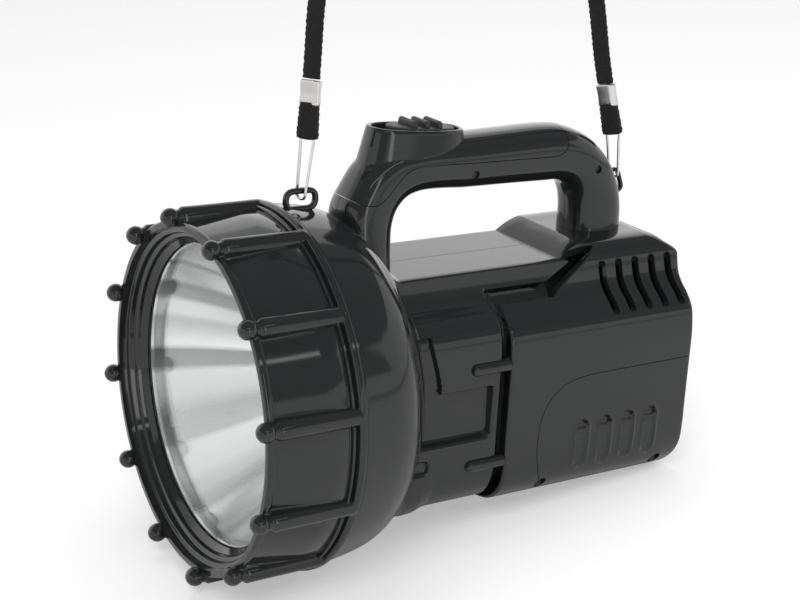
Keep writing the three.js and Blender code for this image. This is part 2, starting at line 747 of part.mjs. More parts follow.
function bodyOutside(grow) {
  const outline = grown(bodySection(), grow);
  const neckRear = housingFront + neckReach + slantRun;
  const channelFront = bodyRear - channelWidth;
  const neck = alongX(shapeOf(outline), bodyFront, neckRear)
    .intersect(alongY(neckSide(grow), -overrun, overrun));
  const tongueSection = grown(housingSection(), -housingWall - fit);
  const tongue = alongX(shapeOf(tongueSection), bodyRear - fit, bodyRear + tongueLength)
    .intersect(block([-overrun, overrun], [-overrun, overrun], [-overrun, jointLine - housingWall - fit]));
  return union([
    alongX(shapeOf(outline), bodyFront, channelFront),
    alongX(shapeOf(grown(bodySection(), -channelDepth)), channelFront - fit, bodyRear),
    neck, ramp(grow), tongue,
  ]);
}

// A round-ended bar along the side of the body.
function sideBar(side, height) {
  const rear = bodyRear;
  const front = rear - barLength;
  const noseSteps = 4;
  const nose = Array.from({ length: noseSteps + 1 }, (_, step) => {
    const angle = (step / noseSteps) * (Math.PI / 2);
    return [front + barRadius * (1 - Math.cos(angle)), barRadius * Math.sin(angle)];
  });
  return revolved([...nose, [rear, barRadius], [rear, 0]], smallSides)
    .translate([0, side * (bodyHalfWidth - fit), height]);
}

function frontBody() {
  const bars = [upperBarHeight, lowerBarHeight].flatMap((height) => (
    [-1, 1].map((side) => sideBar(side, height))));
  const cavity = alongX(
    shapeOf(grown(bodySection(), -bodyWall)), bodyFront + bodyWall, housingFront + neckReach - bodyWall,
  );
  const opening = revolved([
    [bodyFront - overrun, 0], [bodyFront - overrun, wiringRadius],
    [bodyFront + wiringDepth, wiringRadius], [bodyFront + wiringDepth, 0],
  ], innerSides);
  const solid = union([cut(bodyOutside(0), [bothSides(sideRecess)]), ...bars]);
  return cut(solid, [cavity, opening]);
}

// Side view of the rear housing: open to the neck above the channel, rounded at roof and heel.
function housingSide(grow) {
  const foot = housingFront + neckReach;
  return grown([
    [housingFront, -housingDepth], [housingFront, jointLine], [foot, jointLine],
    [foot + slantRun, slantTop], [foot + slantRun, roofHeight],
    [housingRear, roofHeight], [housingRear, -housingDepth],
  ], grow);
}

function housingForm(grow) {
  const outline = housingSide(grow);
  const rounded = outline.map(([x, z]) => {
    if (x < housingRear - fit + Math.min(grow, 0)) return fit / 2;
    return z > 0 ? roofCorner : heelCorner;
  });
  const side = alongY(roundedShape(outline, rounded), -overrun, overrun);
  const halfWidth = housingHalfWidth + grow;
  const plan = roundedShape([
    [housingFront - overrun, -halfWidth], [housingRear + grow, -halfWidth],
    [housingRear + grow, halfWidth], [housingFront - overrun, halfWidth],
  ], [0, sideCorner, sideCorner, 0]);
  const across = alongX(shapeOf(grown(housingSection(), grow)), housingFront - overrun, housingRear + overrun);
  return across.intersect(side).intersect(alongZ(plan, -overrun, overrun));
}

// The region of one side cover, grown by a gap, down to a depth below the housing's face.
function coverRegion(side, grow, depth) {
  const length = housingRear - coverFront;
  const height = coverTop - coverBottom;
  const outline = grown(coverShares.map(([along, up]) => [
    coverFront + length * along, coverBottom + height * up,
  ]), grow);
  const slab = side < 0 ? alongY(shapeOf(outline), -overrun, -bodyHalfWidth / 2)
    : alongY(shapeOf(outline), bodyHalfWidth / 2, overrun);
  const core = alongX(shapeOf(grown(housingSection(), -depth)), -overrun, overrun + housingRear);
  return slab.subtract(core);
}

function sideCover(side) {
  const scoops = Array.from({ length: scoopCount }, (_, index) => (
    scoop(side, coverFront + firstScoop + scoopPitch * index)));
  const holes = coverScrewPlaces().map((x) => screwHole(side, x, coverScrewHeight));
  return cut(housingForm(0).intersect(coverRegion(side, 0, coverThickness)), [...scoops, ...holes]);
}

// A pill-shaped scoop, deeper at its upper end.
function scoop(side, x) {
  const scoopTop = scoopBottom + scoopLength;
  const middle = (scoopTop + scoopBottom) / 2;
  const pill = roundedShape([
    [x - scoopHalfWidth, scoopBottom], [x + scoopHalfWidth, scoopBottom],
    [x + scoopHalfWidth, scoopTop], [x - scoopHalfWidth, scoopTop],
  ], scoopHalfWidth);
  const floor = housingHalfWidth - scoopDepth;
  const tool = side < 0 ? alongY(pill, -overrun, -floor) : alongY(pill, floor, overrun);
  const tilt = Math.atan2(scoopFade, scoopLength);
  const lean = new THREE.Matrix4().makeRotationX(side * tilt);
  const there = new THREE.Matrix4().makeTranslation(0, side * floor, middle);
  const back = new THREE.Matrix4().makeTranslation(0, -side * floor, -middle);
  return tool.transform(there.multiply(lean).multiply(back).toArray());
}

const coverScrewPlaces = () => [coverFront + frontCoverScrew, housingRear - rearCoverScrew];

// How far out the housing's face is at one height.
function housingFace(height) {
  const left = housingShares.map(([across, up]) => [
    across * housingHalfWidth, up * (up > 0 ? roofHeight : housingDepth),
  ]);
  const index = left.findIndex(([, z]) => z <= height);
  const [[y0, z0], [y1, z1]] = [left[index - 1], left[index]];
  return y0 + (y1 - y0) * ((height - z0) / (z1 - z0));
}

// A screw that points inwards across the lamp: its head is at the outer end, at a distance from the middle.
function screw(side, x, z, headOut, length) {
  const outline = [
    [0, 0], [0, screwHeadRadius], [screwHeadHeight, screwHeadRadius], [screwHeadHeight, screwRadius],
    [length, screwRadius], [length, 0],
  ];
  return revolved(outline, smallSides).transform(new THREE.Matrix4()
    .makeTranslation(x, side * headOut, z)
    .multiply(new THREE.Matrix4().makeRotationZ(side * -Math.PI / 2)).toArray());
}

// The hole for a screw: a counterbore for the head and a clear way for the shank.
function hole(side, x, z, headOut, length) {
  const outline = [
    [-overrun, 0], [-overrun, screwHeadRadius + fit], [screwHeadHeight + fit, screwHeadRadius + fit],
    [screwHeadHeight + fit, screwRadius + fit], [length + fit, screwRadius + fit], [length + fit, 0],
  ];
  return revolved(outline, smallSides).transform(new THREE.Matrix4()
    .makeTranslation(x, side * headOut, z)
    .multiply(new THREE.Matrix4().makeRotationZ(side * -Math.PI / 2)).toArray());
}

const coverScrewOut = () => housingFace(coverScrewHeight) - screwSink;
const screwHole = (side, x, z) => hole(side, x, z, coverScrewOut(), coverScrewLength);
const coverScrew = (side, x) => screw(side, x, coverScrewHeight, coverScrewOut(), coverScrewLength);

function screwBoss(side, x) {
  const out = housingFace(coverScrewHeight) - coverThickness - 2 * fit;
  const outline = [[0, 0], [0, bossRadius], [bossLength, bossRadius], [bossLength, 0]];
  return revolved(outline, smallSides).transform(new THREE.Matrix4()
    .makeTranslation(x, side * out, coverScrewHeight)
    .multiply(new THREE.Matrix4().makeRotationZ(side * -Math.PI / 2)).toArray());
}

function bayOpening(side) {
  const front = coverFront + bayFrontSetback;
  const rear = housingRear - bayRearSetback;
  const top = coverTop - bayDrop;
  const shape = roundedShape([
    [front, top - bayHeight], [rear, top - bayHeight], [rear, top], [front, top],
  ], bayCorner);
  const inside = housingHalfWidth / 2;
  return side < 0 ? alongY(shape, -overrun, -inside) : alongY(shape, inside, overrun);
}

// The vents are slots across the neck's wall and the shoulder, so each shows as a dog-leg.
function vent(side, index) {
  const x = housingRear - lastVentSetback - ventPitch * (ventCount - 1 - index);
  const width = [x - ventWidth / 2, x + ventWidth / 2];
  const y = side < 0 ? [-overrun, -ventInnerEdge] : [ventInnerEdge, overrun];
  return block(width, y, [jointLine - ventBottomDrop, roofHeight - ventTopDrop]);
}

function rearHousing() {
  const cavity = housingForm(-housingWall);
  const mouthSection = grown(housingSection(), -housingWall);
  const mouth = alongX(shapeOf(mouthSection), -overrun, housingFront + 2 * housingWall)
    .intersect(block([-overrun, overrun], [-overrun, overrun], [-overrun, jointLine - housingWall]));
  const bosses = [-1, 1].flatMap((side) => coverScrewPlaces().map((x) => screwBoss(side, x)));
  const shell = union([cut(housingForm(0), [cavity, mouth]), ...bosses]);
  const vents = Array.from({ length: ventCount }, (_, index) => bothSides((side) => vent(side, index)));
  const holes = [-1, 1].flatMap((side) => coverScrewPlaces().map((x) => screwHole(side, x, coverScrewHeight)));
  return cut(shell, [
    ...[-1, 1].map((side) => coverRegion(side, fit, coverThickness + fit)),
    bothSides(bayOpening), ...vents, ...holes,
  ]);
}

// The handle is an arch of rounded sections, each spanned between its outer and its inner edge.
function handleArch() {
  const place = (along, up) => [handleFront + handleLength * along, deckHeight + handleHeight * up];
  const outer = new THREE.SplineCurve(handleStationShares.map(([along, up]) => (
    new THREE.Vector2(...place(along, up)))));
  const inner = new THREE.SplineCurve(handleStationShares.map(([, , along, up]) => (
    new THREE.Vector2(...place(along, up)))));
  const last = handleStationShares.length - 1;
  const width = new THREE.SplineCurve(handleStationShares.map(([, , , , share], index) => (
    new THREE.Vector2(index / last, share * handleHalfWidth))));
  const rings = Array.from({ length: handleRings + 1 }, (_, ring) => {
    const where = ring / handleRings;
    const [out, into, half] = [outer.getPoint(where), inner.getPoint(where), width.getPoint(where).y];
    const middle = out.clone().add(into).multiplyScalar(1 / 2);
    const reach = out.clone().sub(middle);
    return Array.from({ length: handleSides }, (_side, side) => {
      const [up, across] = superellipse((side / handleSides) * 2 * Math.PI, handleSquareness);
      return new THREE.Vector3(middle.x + reach.x * up, half * across, middle.y + reach.y * up);
    });
  });
  return lofted(rings);
}

// Everything above the seam, seen from the side, grown by half of the gap at the seam.
function aboveSeam(grow) {
  const seam = new THREE.SplineCurve(seamShares.map(([along, up]) => (
    new THREE.Vector2(handleFront + handleLength * along, deckHeight + handleHeight * up))));
  const points = seam.getPoints(20).map((point) => [point.x, point.y]);
  const [first, last] = [points[0], points[points.length - 1]];
  const top = deckHeight + 2 * handleHeight;
  const outline = [...points, [last[0], top], [first[0], top]];
  return alongY(shapeOf(grown(outline, grow)), -overrun, overrun);
}

// A closed ring of the turret at one height: an oval whose height falls towards the rear.
function turretRing(inset, frontHeight, rearHeight) {
  const centre = turretFront + turretLength / 2;
  const halfLength = turretLength / 2 - inset;
  return Array.from({ length: turretSides }, (_, side) => {
    const [along, across] = superellipse((side / turretSides) * 2 * Math.PI, turretRoundness);
    const height = frontHeight + (rearHeight - frontHeight) * ((along + 1) / 2);
    return new THREE.Vector3(centre + halfLength * along, (turretHalfWidth - inset) * across, height);
  });
}

function turret() {
  return lofted([
    turretRing(-turretFlare, turretBaseHeight, turretBaseHeight),
    turretRing(0, turretFrontHeight - rimChamfer, turretRearHeight - rimChamfer),
    turretRing(rimChamfer, turretFrontHeight, turretRearHeight),
  ]);
}

function well() {
  return lofted([
    turretRing(turretWall, wellFloor, wellFloor),
    turretRing(turretWall, wellFloor + overrun, wellFloor + overrun),
  ]);
}

const stemRear = stemFront + stemLength;
const switchTop = wellFloor - wellFloorThickness - fit;

function stemSlot() {
  return block(
    [stemFront - knobTravel - fit, stemRear + fit], [-stemWidth / 2 - fit, stemWidth / 2 + fit],
    [switchTop - fit, wellFloor + fit],
  );
}

function switchPocket() {
  return block(
    [switchFront - fit, switchFront + switchLength + fit], [-switchWidth / 2 - fit, switchWidth / 2 + fit],
    [switchTop - switchHeight - fit, switchTop + fit],
  );
}

function handleTopCover() {
  const shell = union([handleArch(), turret()]).intersect(aboveSeam(-fit / 2));
  return cut(shell, [well(), stemSlot(), switchPocket()]);
}

const gripScrews = () => gripScrewShares.map(([along, up]) => [
  handleFront + handleLength * along, deckHeight + handleHeight * up,
]);

function handleBody() {
  const holes = gripScrews().map(([x, z]) => hole(-1, x, z, handleHalfWidth - screwSink, handleScrewLength));
  return cut(handleArch(), [
    aboveSeam(fit / 2), switchPocket(), headOutside(fit), bodyOutside(fit), housingForm(fit),
    rearEyeSeat(), ...holes,
  ]);
}

function switchKnob() {
  const slope = turretFall / turretLength;
  const faceHeight = (x) => turretFrontHeight - slope * (x - turretFront) + knobStandOut;
  const halfWidth = turretHalfWidth - turretWall - 2 * fit;
  const ring = (inset, height) => Array.from({ length: turretSides }, (_, side) => {
    const [along, across] = superellipse((side / turretSides) * 2 * Math.PI, turretRoundness);
    const x = knobCentre + (knobLength / 2 - inset) * along;
    return new THREE.Vector3(x, (halfWidth - inset) * across, height(x));
  });
  const floor = wellFloor + fit;
  const base = lofted([
    ring(0, () => floor), ring(0, (x) => faceHeight(x) - rimChamfer), ring(rimChamfer, faceHeight),
  ]);
  const ribs = Array.from({ length: knobRibCount }, (_, index) => {
    const x = knobCentre + knobRibPitch * (index - (knobRibCount - 1) / 2);
    const [front, rear, top] = [x - knobRibWidth / 2, x + knobRibWidth / 2, faceHeight(x) + knobRibHeight];
    const rib = roundedShape([
      [front, floor], [rear, floor], [rear, top], [front, top],
    ], [0, 0, knobRibWidth / 3, knobRibWidth / 3]);
    return alongY(rib, -knobRibLength / 2, knobRibLength / 2);
  });
  const stem = block([stemFront, stemRear], [-stemWidth / 2, stemWidth / 2], [switchTop + fit, floor + fit]);
  return union([base, ...ribs, stem]);
}

function slideSwitch() {
  return block(
    [switchFront, switchFront + switchLength], [-switchWidth / 2, switchWidth / 2],
    [switchTop - switchHeight, switchTop],
  );
}

// A sealed battery block with two blade terminals on its upper face.
function batteryPack() {
  const rear = housingRear - housingWall - heelCorner;
  const front = rear - batteryLength;
  const floor = -housingDepth + housingWall + fit;
  const top = floor + batteryHeight;
  const caseShape = roundedShape([
    [-batteryWidth / 2, floor], [batteryWidth / 2, floor], [batteryWidth / 2, top], [-batteryWidth / 2, top],
  ], batteryCorner);
  const terminals = [-1, 1].map((side) => {
    const y = side * (batteryWidth / 2 - terminalInset);
    return block(
      [front + terminalInset, front + terminalInset + terminalLength],
      [y - terminalWidth / 2, y + terminalWidth / 2], [top - fit, top + terminalHeight],
    );
  });
  return union([alongX(caseShape, front, rear), ...terminals]);
}

// A strap eye: a flat ring with rounded corners, in the lamp's middle plane.
function eyeShape(centre, lean, length, height, corner, bar) {
  const turn = radians(lean);
  const placed = (halfLength, halfHeight) => [[-1, -1], [1, -1], [1, 1], [-1, 1]].map(([u, v]) => [
    centre[0] + u * halfLength * Math.cos(turn) + v * halfHeight * Math.sin(turn),
    centre[1] - u * halfLength * Math.sin(turn) + v * halfHeight * Math.cos(turn),
  ]);
  const shape = roundedShape(placed(length / 2, height / 2), corner);
  if (bar > 0) shape.holes.push(roundedShape(placed(length / 2 - bar, height / 2 - bar), corner - bar));
  return shape;
}

const frontEyeCentre = () => [
  bezelRear + eyeGapToBezel + eyeLength / 2, domeRadius - eyeSink + eyeHeight / 2,
];
const rearEyeCentre = () => [
  handleFront + handleLength * rearEyeShares[0], deckHeight + handleHeight * rearEyeShares[1],
];

function frontEye() {
  return alongY(eyeShape(frontEyeCentre(), 0, eyeLength, eyeHeight, eyeCorner, eyeBar),
    -eyeThickness / 2, eyeThickness / 2);
}

function frontEyeSeat() {
  const shape = eyeShape(frontEyeCentre(), 0, eyeLength + 2 * fit, eyeHeight + 2 * fit, eyeCorner + fit, 0);
  return alongY(shape, -eyeThickness / 2 - fit, eyeThickness / 2 + fit);
}

function rearEye() {
  return alongY(
    eyeShape(rearEyeCentre(), rearEyeLean, rearEyeLength, rearEyeHeight, rearEyeCorner, rearEyeBar),
    -eyeThickness / 2, eyeThickness / 2,
  );
}

function rearEyeSeat() {
  const shape = eyeShape(
    rearEyeCentre(), rearEyeLean, rearEyeLength + 2 * fit, rearEyeHeight + 2 * fit, rearEyeCorner + fit, 0,
  );
  return alongY(shape, -eyeThickness / 2 - fit, eyeThickness / 2 + fit);
}

const strapFace = new THREE.Vector3(Math.cos(radians(strapFaceTurn)), -Math.sin(radians(strapFaceTurn)), 0);

// The directions up one strand and across its width.
function strandFrame(strand) {
  const lean = radians(strand.lean);
  const up = new THREE.Vector3(-Math.sin(lean), 0, Math.cos(lean));
  return { up, width: strapFace.clone().addScaledVector(up, -strapFace.dot(up)).normalize() };
}

// Extrudes a flat shape along one strand: its width lies along the strap's width.
function onStrand(strand, shape, from, to) {
  const start = new THREE.Vector3(from[0], 0, from[1]);
  const length = start.distanceTo(new THREE.Vector3(to[0], 0, to[1]));
  const { up, width } = strandFrame(strand);
  const depth = new THREE.Vector3().crossVectors(up, width);
  const geometry = new THREE.ExtrudeGeometry(shape, { depth: length, bevelEnabled: false, curveSegments: 3 });
  const turn = new THREE.Matrix4().makeBasis(width, depth, up).setPosition(start);
  return solidOf(geometry.applyMatrix4(turn));
}

const plate = (width, thickness, corner) => roundedShape(
  [[-1, -1], [1, -1], [1, 1], [-1, 1]].map(([u, v]) => [u * width / 2, v * thickness / 2]), corner,
);

// A point down a strand, at a distance below the end of the strap.
function down(strand, distance) {
  const lean = radians(strand.lean);
  return [strand.top[0] + distance * Math.sin(lean), strand.top[1] - distance * Math.cos(lean)];
}

const strapFold = (strand) => onStrand(
  strand, plate(foldWidth, foldThickness, foldCorner),
  down(strand, crimpLength + fit + foldLength), down(strand, crimpLength + fit),
);
const crimp = (strand) => onStrand(
  strand, plate(crimpWidth, crimpThickness, crimpCorner), down(strand, crimpLength), strand.top,
);

// A wire that leaves the strap's fold, passes beside the eye, under its bar and back up the other side.
function wireClip(strand, hook) {
  const clear = eyeThickness / 2 + wireRadius + 2 * fit;
  const foldEnd = down(strand, crimpLength + foldLength + 2 * fit);
  const spread = foldWidth / 2 - foldCorner;
  const { width } = strandFrame(strand);
  const sideways = new THREE.Vector3(0, -1, 0);
  const outward = -clear / sideways.clone().lerp(width, wireTwist).y;
  const leg = (sign) => wireLegShares.map(([share, wide, out, drop]) => new THREE.Vector3(
    hook[0] + (foldEnd[0] - hook[0]) * share, 0,
    hook[1] - wireRadius * drop + (foldEnd[1] - hook[1]) * share,
  ).addScaledVector(
    sideways.clone().lerp(width, wireTwist + (1 - wireTwist) * share), sign * (spread * wide + outward * out),
  ));
  const bottom = new THREE.Vector3(hook[0], 0, hook[1] - wireRadius - 2 * fit);
  const route = new THREE.CatmullRomCurve3([...leg(1), bottom, ...leg(-1).reverse()], false, 'centripetal');
  const circle = new THREE.Shape().absarc(0, 0, wireRadius, 0, 2 * Math.PI);
  const geometry = new THREE.ExtrudeGeometry(circle, {
    extrudePath: route, steps: wireSteps, bevelEnabled: false, curveSegments: wireSides / 2,
  });
  return solidOf(geometry);
}

const frontHook = () => {
  const [x, z] = frontEyeCentre();
  return [x, z + eyeHeight / 2 - eyeBar - wireRadius - fit];
};
const rearHook = () => {
  const [x, z] = rearEyeCentre();
  const reach = rearEyeLength / 2 - rearEyeBar - wireRadius - fit;
  const turn = radians(rearEyeLean);
  return [x - reach * Math.cos(turn) + fit, z + reach * Math.sin(turn)];
};

function strap() {
  const route = new THREE.CatmullRomCurve3(strapRoute.map(([x, z]) => new THREE.Vector3(x, 0, z)));
  const points = Array.from({ length: strapSides }, (_, side) => {
    const angle = (side / strapSides) * 2 * Math.PI;
    return new THREE.Vector2(strapWidth / 2 * Math.cos(angle), strapWidth / 2 * Math.sin(angle));
  });
  const geometry = new THREE.ExtrudeGeometry(new THREE.Shape(points), {
    extrudePath: route, steps: strapSteps, bevelEnabled: false,
  });
  return solidOf(geometry);
}

const body = frontBody();
const handle = handleBody();
const pieces = [
  meshOf('bezel_ring', bezelRing(), glossBlack),
  meshOf('front_lens', frontLens(), clearGlass),
  meshOf('lens_gasket', lensGasket(), softBlack),
  meshOf('reflector', reflector(), mirrorCoat),
  meshOf('bulb_capsule', bulbCapsule(), clearGlass),
  meshOf('bulb_base', bulbBase(), brightNickel),
  meshOf('bulb_holder', bulbHolder(), ceramic),
  meshOf('head_housing', headHousing(), glossBlack),
  meshOf('body_left', body.intersect(leftSide()), glossBlack),
  meshOf('body_right', body.intersect(rightSide()), glossBlack),
  meshOf('rear_housing', rearHousing(), glossBlack),
  meshOf('side_cover_left', sideCover(-1), glossBlack),
  meshOf('side_cover_right', sideCover(1), glossBlack),
  meshOf('handle_left', handle.intersect(leftSide()), glossBlack),
  meshOf('handle_right', handle.intersect(rightSide()), glossBlack),
  meshOf('handle_top_cover', handleTopCover(), glossBlack),
  meshOf('switch_knob', switchKnob(), softBlack),
  meshOf('slide_switch', slideSwitch(), softBlack),
  meshOf('battery_pack', batteryPack(), batteryGrey),
  meshOf('front_strap_eye', frontEye(), glossBlack),
  meshOf('rear_strap_eye', rearEye(), glossBlack),
  meshOf('front_wire_clip', wireClip(frontStrand, frontHook()), brightNickel),
  meshOf('rear_wire_clip', wireClip(rearStrand, rearHook()), brightNickel),
  meshOf('front_strap_fold', strapFold(frontStrand), strapBlack),
  meshOf('rear_strap_fold', strapFold(rearStrand), strapBlack),
  meshOf('front_crimp', crimp(frontStrand), brightNickel),
  meshOf('rear_crimp', crimp(rearStrand), brightNickel),
  meshOf('strap', strap(), strapBlack),
];
[['left', -1], ['right', 1]].forEach(([sideName, side]) => {
  coverScrewPlaces().forEach((x, index) => {
    const name = `cover_screw_${sideName}_${index + 1}`;
    pieces.push(meshOf(name, coverScrew(side, x), darkSteel));
  });
});
gripScrews().forEach(([x, z], index) => {
  const solid = screw(-1, x, z, handleHalfWidth - screwSink, handleScrewLength);
  pieces.push(meshOf(`handle_screw_${index + 1}`, solid, darkSteel));
});

const lamp = new THREE.Group();
pieces.forEach((piece) => lamp.add(piece));

// The floor touches the bezel's flange and the rounded heel of the rear housing.
const heelX = housingRear - heelCorner;
const heelZ = housingDepth - heelCorner;
const footing = Math.hypot(heelX - bezelRear, flangeRadius - heelZ);
const tilt = Math.atan2(flangeRadius - heelZ, heelX - bezelRear) - Math.asin(heelCorner / footing);
lamp.rotation.y = tilt;

// The origin is on the floor under the middle of the lamp, its strap left out.
const strapNames = [
  'strap', 'front_strap_fold', 'rear_strap_fold', 'front_crimp', 'rear_crimp', 'front_wire_clip',
  'rear_wire_clip',
];
lamp.updateMatrixWorld(true);
const box = new THREE.Box3();
pieces.filter((piece) => !strapNames.includes(piece.name)).forEach((piece) => {
  box.union(new THREE.Box3().setFromObject(piece, true));
});
const centre = box.getCenter(new THREE.Vector3());

const searchlight = new THREE.Group();
searchlight.name = 'handheld_searchlight';
searchlight.add(lamp);
lamp.position.set(-centre.x, -centre.y, -box.min.z);

export default searchlight;
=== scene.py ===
# %% [markdown]
# A handheld searchlight, as a lesson in cells.
# The lamp is a big glossy black moulding: a ribbed bezel that screws over a clear lens, a bright
# bowl behind it, a domed head, a split body, a rear housing for the battery, and an arched handle
# with a sliding switch. A short braided strap is clipped to two eyes. The CAD frame gives every
# place; here the same forms are worked out again as fine surfaces, with finishes that show what
# they are made of.

# %% Frame and units
import json
import math

import bmesh
import bpy
import numpy as np
from mathutils import Matrix


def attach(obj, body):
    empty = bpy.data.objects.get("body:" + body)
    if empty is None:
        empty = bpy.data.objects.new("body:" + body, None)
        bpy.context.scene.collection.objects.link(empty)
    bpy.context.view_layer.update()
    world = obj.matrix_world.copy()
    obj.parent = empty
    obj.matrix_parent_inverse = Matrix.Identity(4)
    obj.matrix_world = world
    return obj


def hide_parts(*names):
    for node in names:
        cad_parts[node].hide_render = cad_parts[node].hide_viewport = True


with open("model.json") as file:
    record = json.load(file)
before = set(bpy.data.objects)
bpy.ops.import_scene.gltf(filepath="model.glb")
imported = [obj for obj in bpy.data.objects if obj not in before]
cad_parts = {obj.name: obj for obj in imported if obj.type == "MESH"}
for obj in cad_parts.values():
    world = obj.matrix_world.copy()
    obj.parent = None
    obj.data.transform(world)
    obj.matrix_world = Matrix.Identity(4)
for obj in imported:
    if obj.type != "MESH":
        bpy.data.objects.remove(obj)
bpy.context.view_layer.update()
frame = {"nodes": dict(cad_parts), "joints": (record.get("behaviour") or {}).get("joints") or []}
print("nodes in the frame:", len(frame["nodes"]))

# %% [markdown]
# The lamp is drawn along its own axis, in millimetres: the beam leaves along -X, +Z is up, and -Y
# is the user's left. It stands nose up on the floor, so every point is turned and moved once, by
# the place and the axis of the bezel's screw joint, which the frame knows.

# %% From the lamp's own axes to the floor's
screw_joint = next(joint for joint in frame["joints"] if joint["name"] == "bezel_turn")
STAND = np.array(screw_joint["pos_m"])
REARWARD = -np.array(screw_joint["axis"]) / np.linalg.norm(screw_joint["axis"])
ACROSS = np.array([0.0, 1.0, 0.0])
AXES = np.array([REARWARD, ACROSS, np.cross(REARWARD, ACROSS)])
MM = 0.001
TILT = math.atan2(-REARWARD[2], REARWARD[0])


def on_floor(points):
    """Place in the row frame = stand + x * rearward + y * across + z * upward, in metres."""
    return STAND + np.asarray(points, float) @ AXES * MM


print("lamp tilted by", round(math.degrees(TILT), 2), "degrees")

# %% [markdown]
# The camera comes first, because all else is judged through it. Its place was solved from the
# landmarks of the photograph: it looks at the lamp from the front left, from a little above.

# %% Camera
CAMERA_AZIMUTH, CAMERA_ELEVATION, CAMERA_ROLL = -32.58, 18.29, 3.14
CAMERA_PLACE = (-281.4, -611.5, 271.8)
FOCAL_PIXELS, FRAME_WIDTH, SENSOR_WIDTH = 1648.65, 800.0, 36.0
CLIP_NEAR, CLIP_FAR = 0.01, 50.0


def unit(vectors):
    """Vectors scaled to length one: v / |v|."""
    return vectors / np.linalg.norm(vectors, axis=-1, keepdims=True)


def linked(name, data):
    """A new object with its data, in the scene."""
    made = bpy.data.objects.new(name, data)
    bpy.context.scene.collection.objects.link(made)
    return made


def placed(made, axes, place):
    """Turns an object to its own x, y and z axes, given as columns, and moves it to its place."""
    matrix = np.eye(4)
    matrix[:3, :3], matrix[:3, 3] = axes, place
    made.matrix_world = Matrix(matrix.tolist())
    return made


def camera_axes(azimuth, elevation, roll):
    """Right, up and back of a camera that looks at the lamp from an azimuth and an elevation; the
    roll turns right towards up: right' = right cos r + up sin r, up' = up cos r - right sin r."""
    turn, lift, lean = np.radians([azimuth, elevation, roll])
    back = np.array([np.sin(turn) * np.cos(lift), -np.cos(turn) * np.cos(lift), np.sin(lift)])
    right = unit(np.cross([0, 0, 1], back))
    up = np.cross(back, right)
    return np.array([right * np.cos(lean) + up * np.sin(lean),
                     up * np.cos(lean) - right * np.sin(lean), back])


camera = placed(linked("camera", bpy.data.cameras.new("camera")),
                (camera_axes(CAMERA_AZIMUTH, CAMERA_ELEVATION, CAMERA_ROLL) @ AXES).T,
                on_floor(CAMERA_PLACE))
camera.data.sensor_width = SENSOR_WIDTH
camera.data.lens = SENSOR_WIDTH * FOCAL_PIXELS / FRAME_WIDTH
camera.data.clip_start, camera.data.clip_end = CLIP_NEAR, CLIP_FAR
bpy.context.scene.camera = camera
print("lens", round(camera.data.lens, 2), "mm")

# %% [markdown]
# Every new piece is a set of point grids. A grid is a surface with two parameters: rows and
# columns of points, whose cells become faces. Poles and seams are closed by welding the points
# that coincide.

# %% Grids, curves and meshes


def blend(edge0, edge1, value):
    """0 below edge0, 1 above edge1, and 3 t^2 - 2 t^3 between them."""
    share = np.clip((value - edge0) / (edge1 - edge0), 0, 1)
    return share * share * (3 - 2 * share)


def bent(value, power):
    """sign(v) |v|^power: a cosine and a sine bent so make a soft rectangle out of a circle."""
    return np.sign(value) * np.abs(value) ** power


def full_turn(count):
    """Even angles once round, without the last, which would repeat the first."""
    return np.linspace(0, 2 * np.pi, count, endpoint=False)


def spline(knots, count):
    """A Catmull-Rom curve of count points. Between knots b and c, with neighbours a and d, it is
    (2b + (c - a) t + (2a - 5b + 4c - d) t^2 + (3b - a - 3c + d) t^3) / 2."""
    knots = np.asarray(knots, float)
    padded = np.vstack([2 * knots[0] - knots[1], knots, 2 * knots[-1] - knots[-2]])
    where = np.linspace(0, len(knots) - 1, count)
    first = np.minimum(where.astype(int), len(knots) - 2)
    t = (where - first)[:, None]
    a, b, c, d = (padded[first + step] for step in range(4))
    return (2 * b + (c - a) * t + (2 * a - 5 * b + 4 * c - d) * t**2
            + (3 * b - a - 3 * c + d) * t**3) / 2


def rounded(corners, radii, steps=4, closed=True):
    """Replaces each corner by a parabola that starts and ends one radius away from it: the point
    is (1 - t)^2 start + 2 t (1 - t) corner + t^2 end."""
    corners = np.asarray(corners, float)
    radii = np.broadcast_to(np.asarray(radii, float), len(corners))
    before, after = np.roll(corners, 1, 0), np.roll(corners, -1, 0)
    reach_in = np.linalg.norm(before - corners, axis=1)
    reach_out = np.linalg.norm(after - corners, axis=1)
    radius = np.minimum(radii, 0.49 * np.minimum(reach_in, reach_out))[:, None]
    start = corners + (before - corners) / reach_in[:, None] * radius
    end = corners + (after - corners) / reach_out[:, None] * radius
    t = np.linspace(0, 1, steps + 1)[None, :, None]
    arcs = (1 - t) ** 2 * start[:, None] + 2 * t * (1 - t) * corners[:, None] + t**2 * end[:, None]
    if closed:
        return arcs.reshape(-1, corners.shape[1])
    return np.vstack([corners[:1], arcs[1:-1].reshape(-1, corners.shape[1]), corners[-1:]])


def run_along(curve):
    """The length run so far at each point of a curve."""
    return np.concatenate([[0], np.cumsum(np.linalg.norm(np.diff(curve, axis=0), axis=1))])


def along(curve, spacing):
    """The same curve, with its points an even spacing apart along its length."""
    curve = np.asarray(curve, float)
    run = run_along(curve)
    even = np.linspace(0, run[-1], max(2, int(round(run[-1] / spacing)) + 1))
    return np.stack([np.interp(even, run, column) for column in curve.T], 1)


def beside(curve, distance):
    """A flat curve moved sideways, along (-dz, dx) scaled to length one."""
    step = np.gradient(curve, axis=0)
    return curve + unit(np.stack([-step[:, 1], step[:, 0]], 1)) * distance


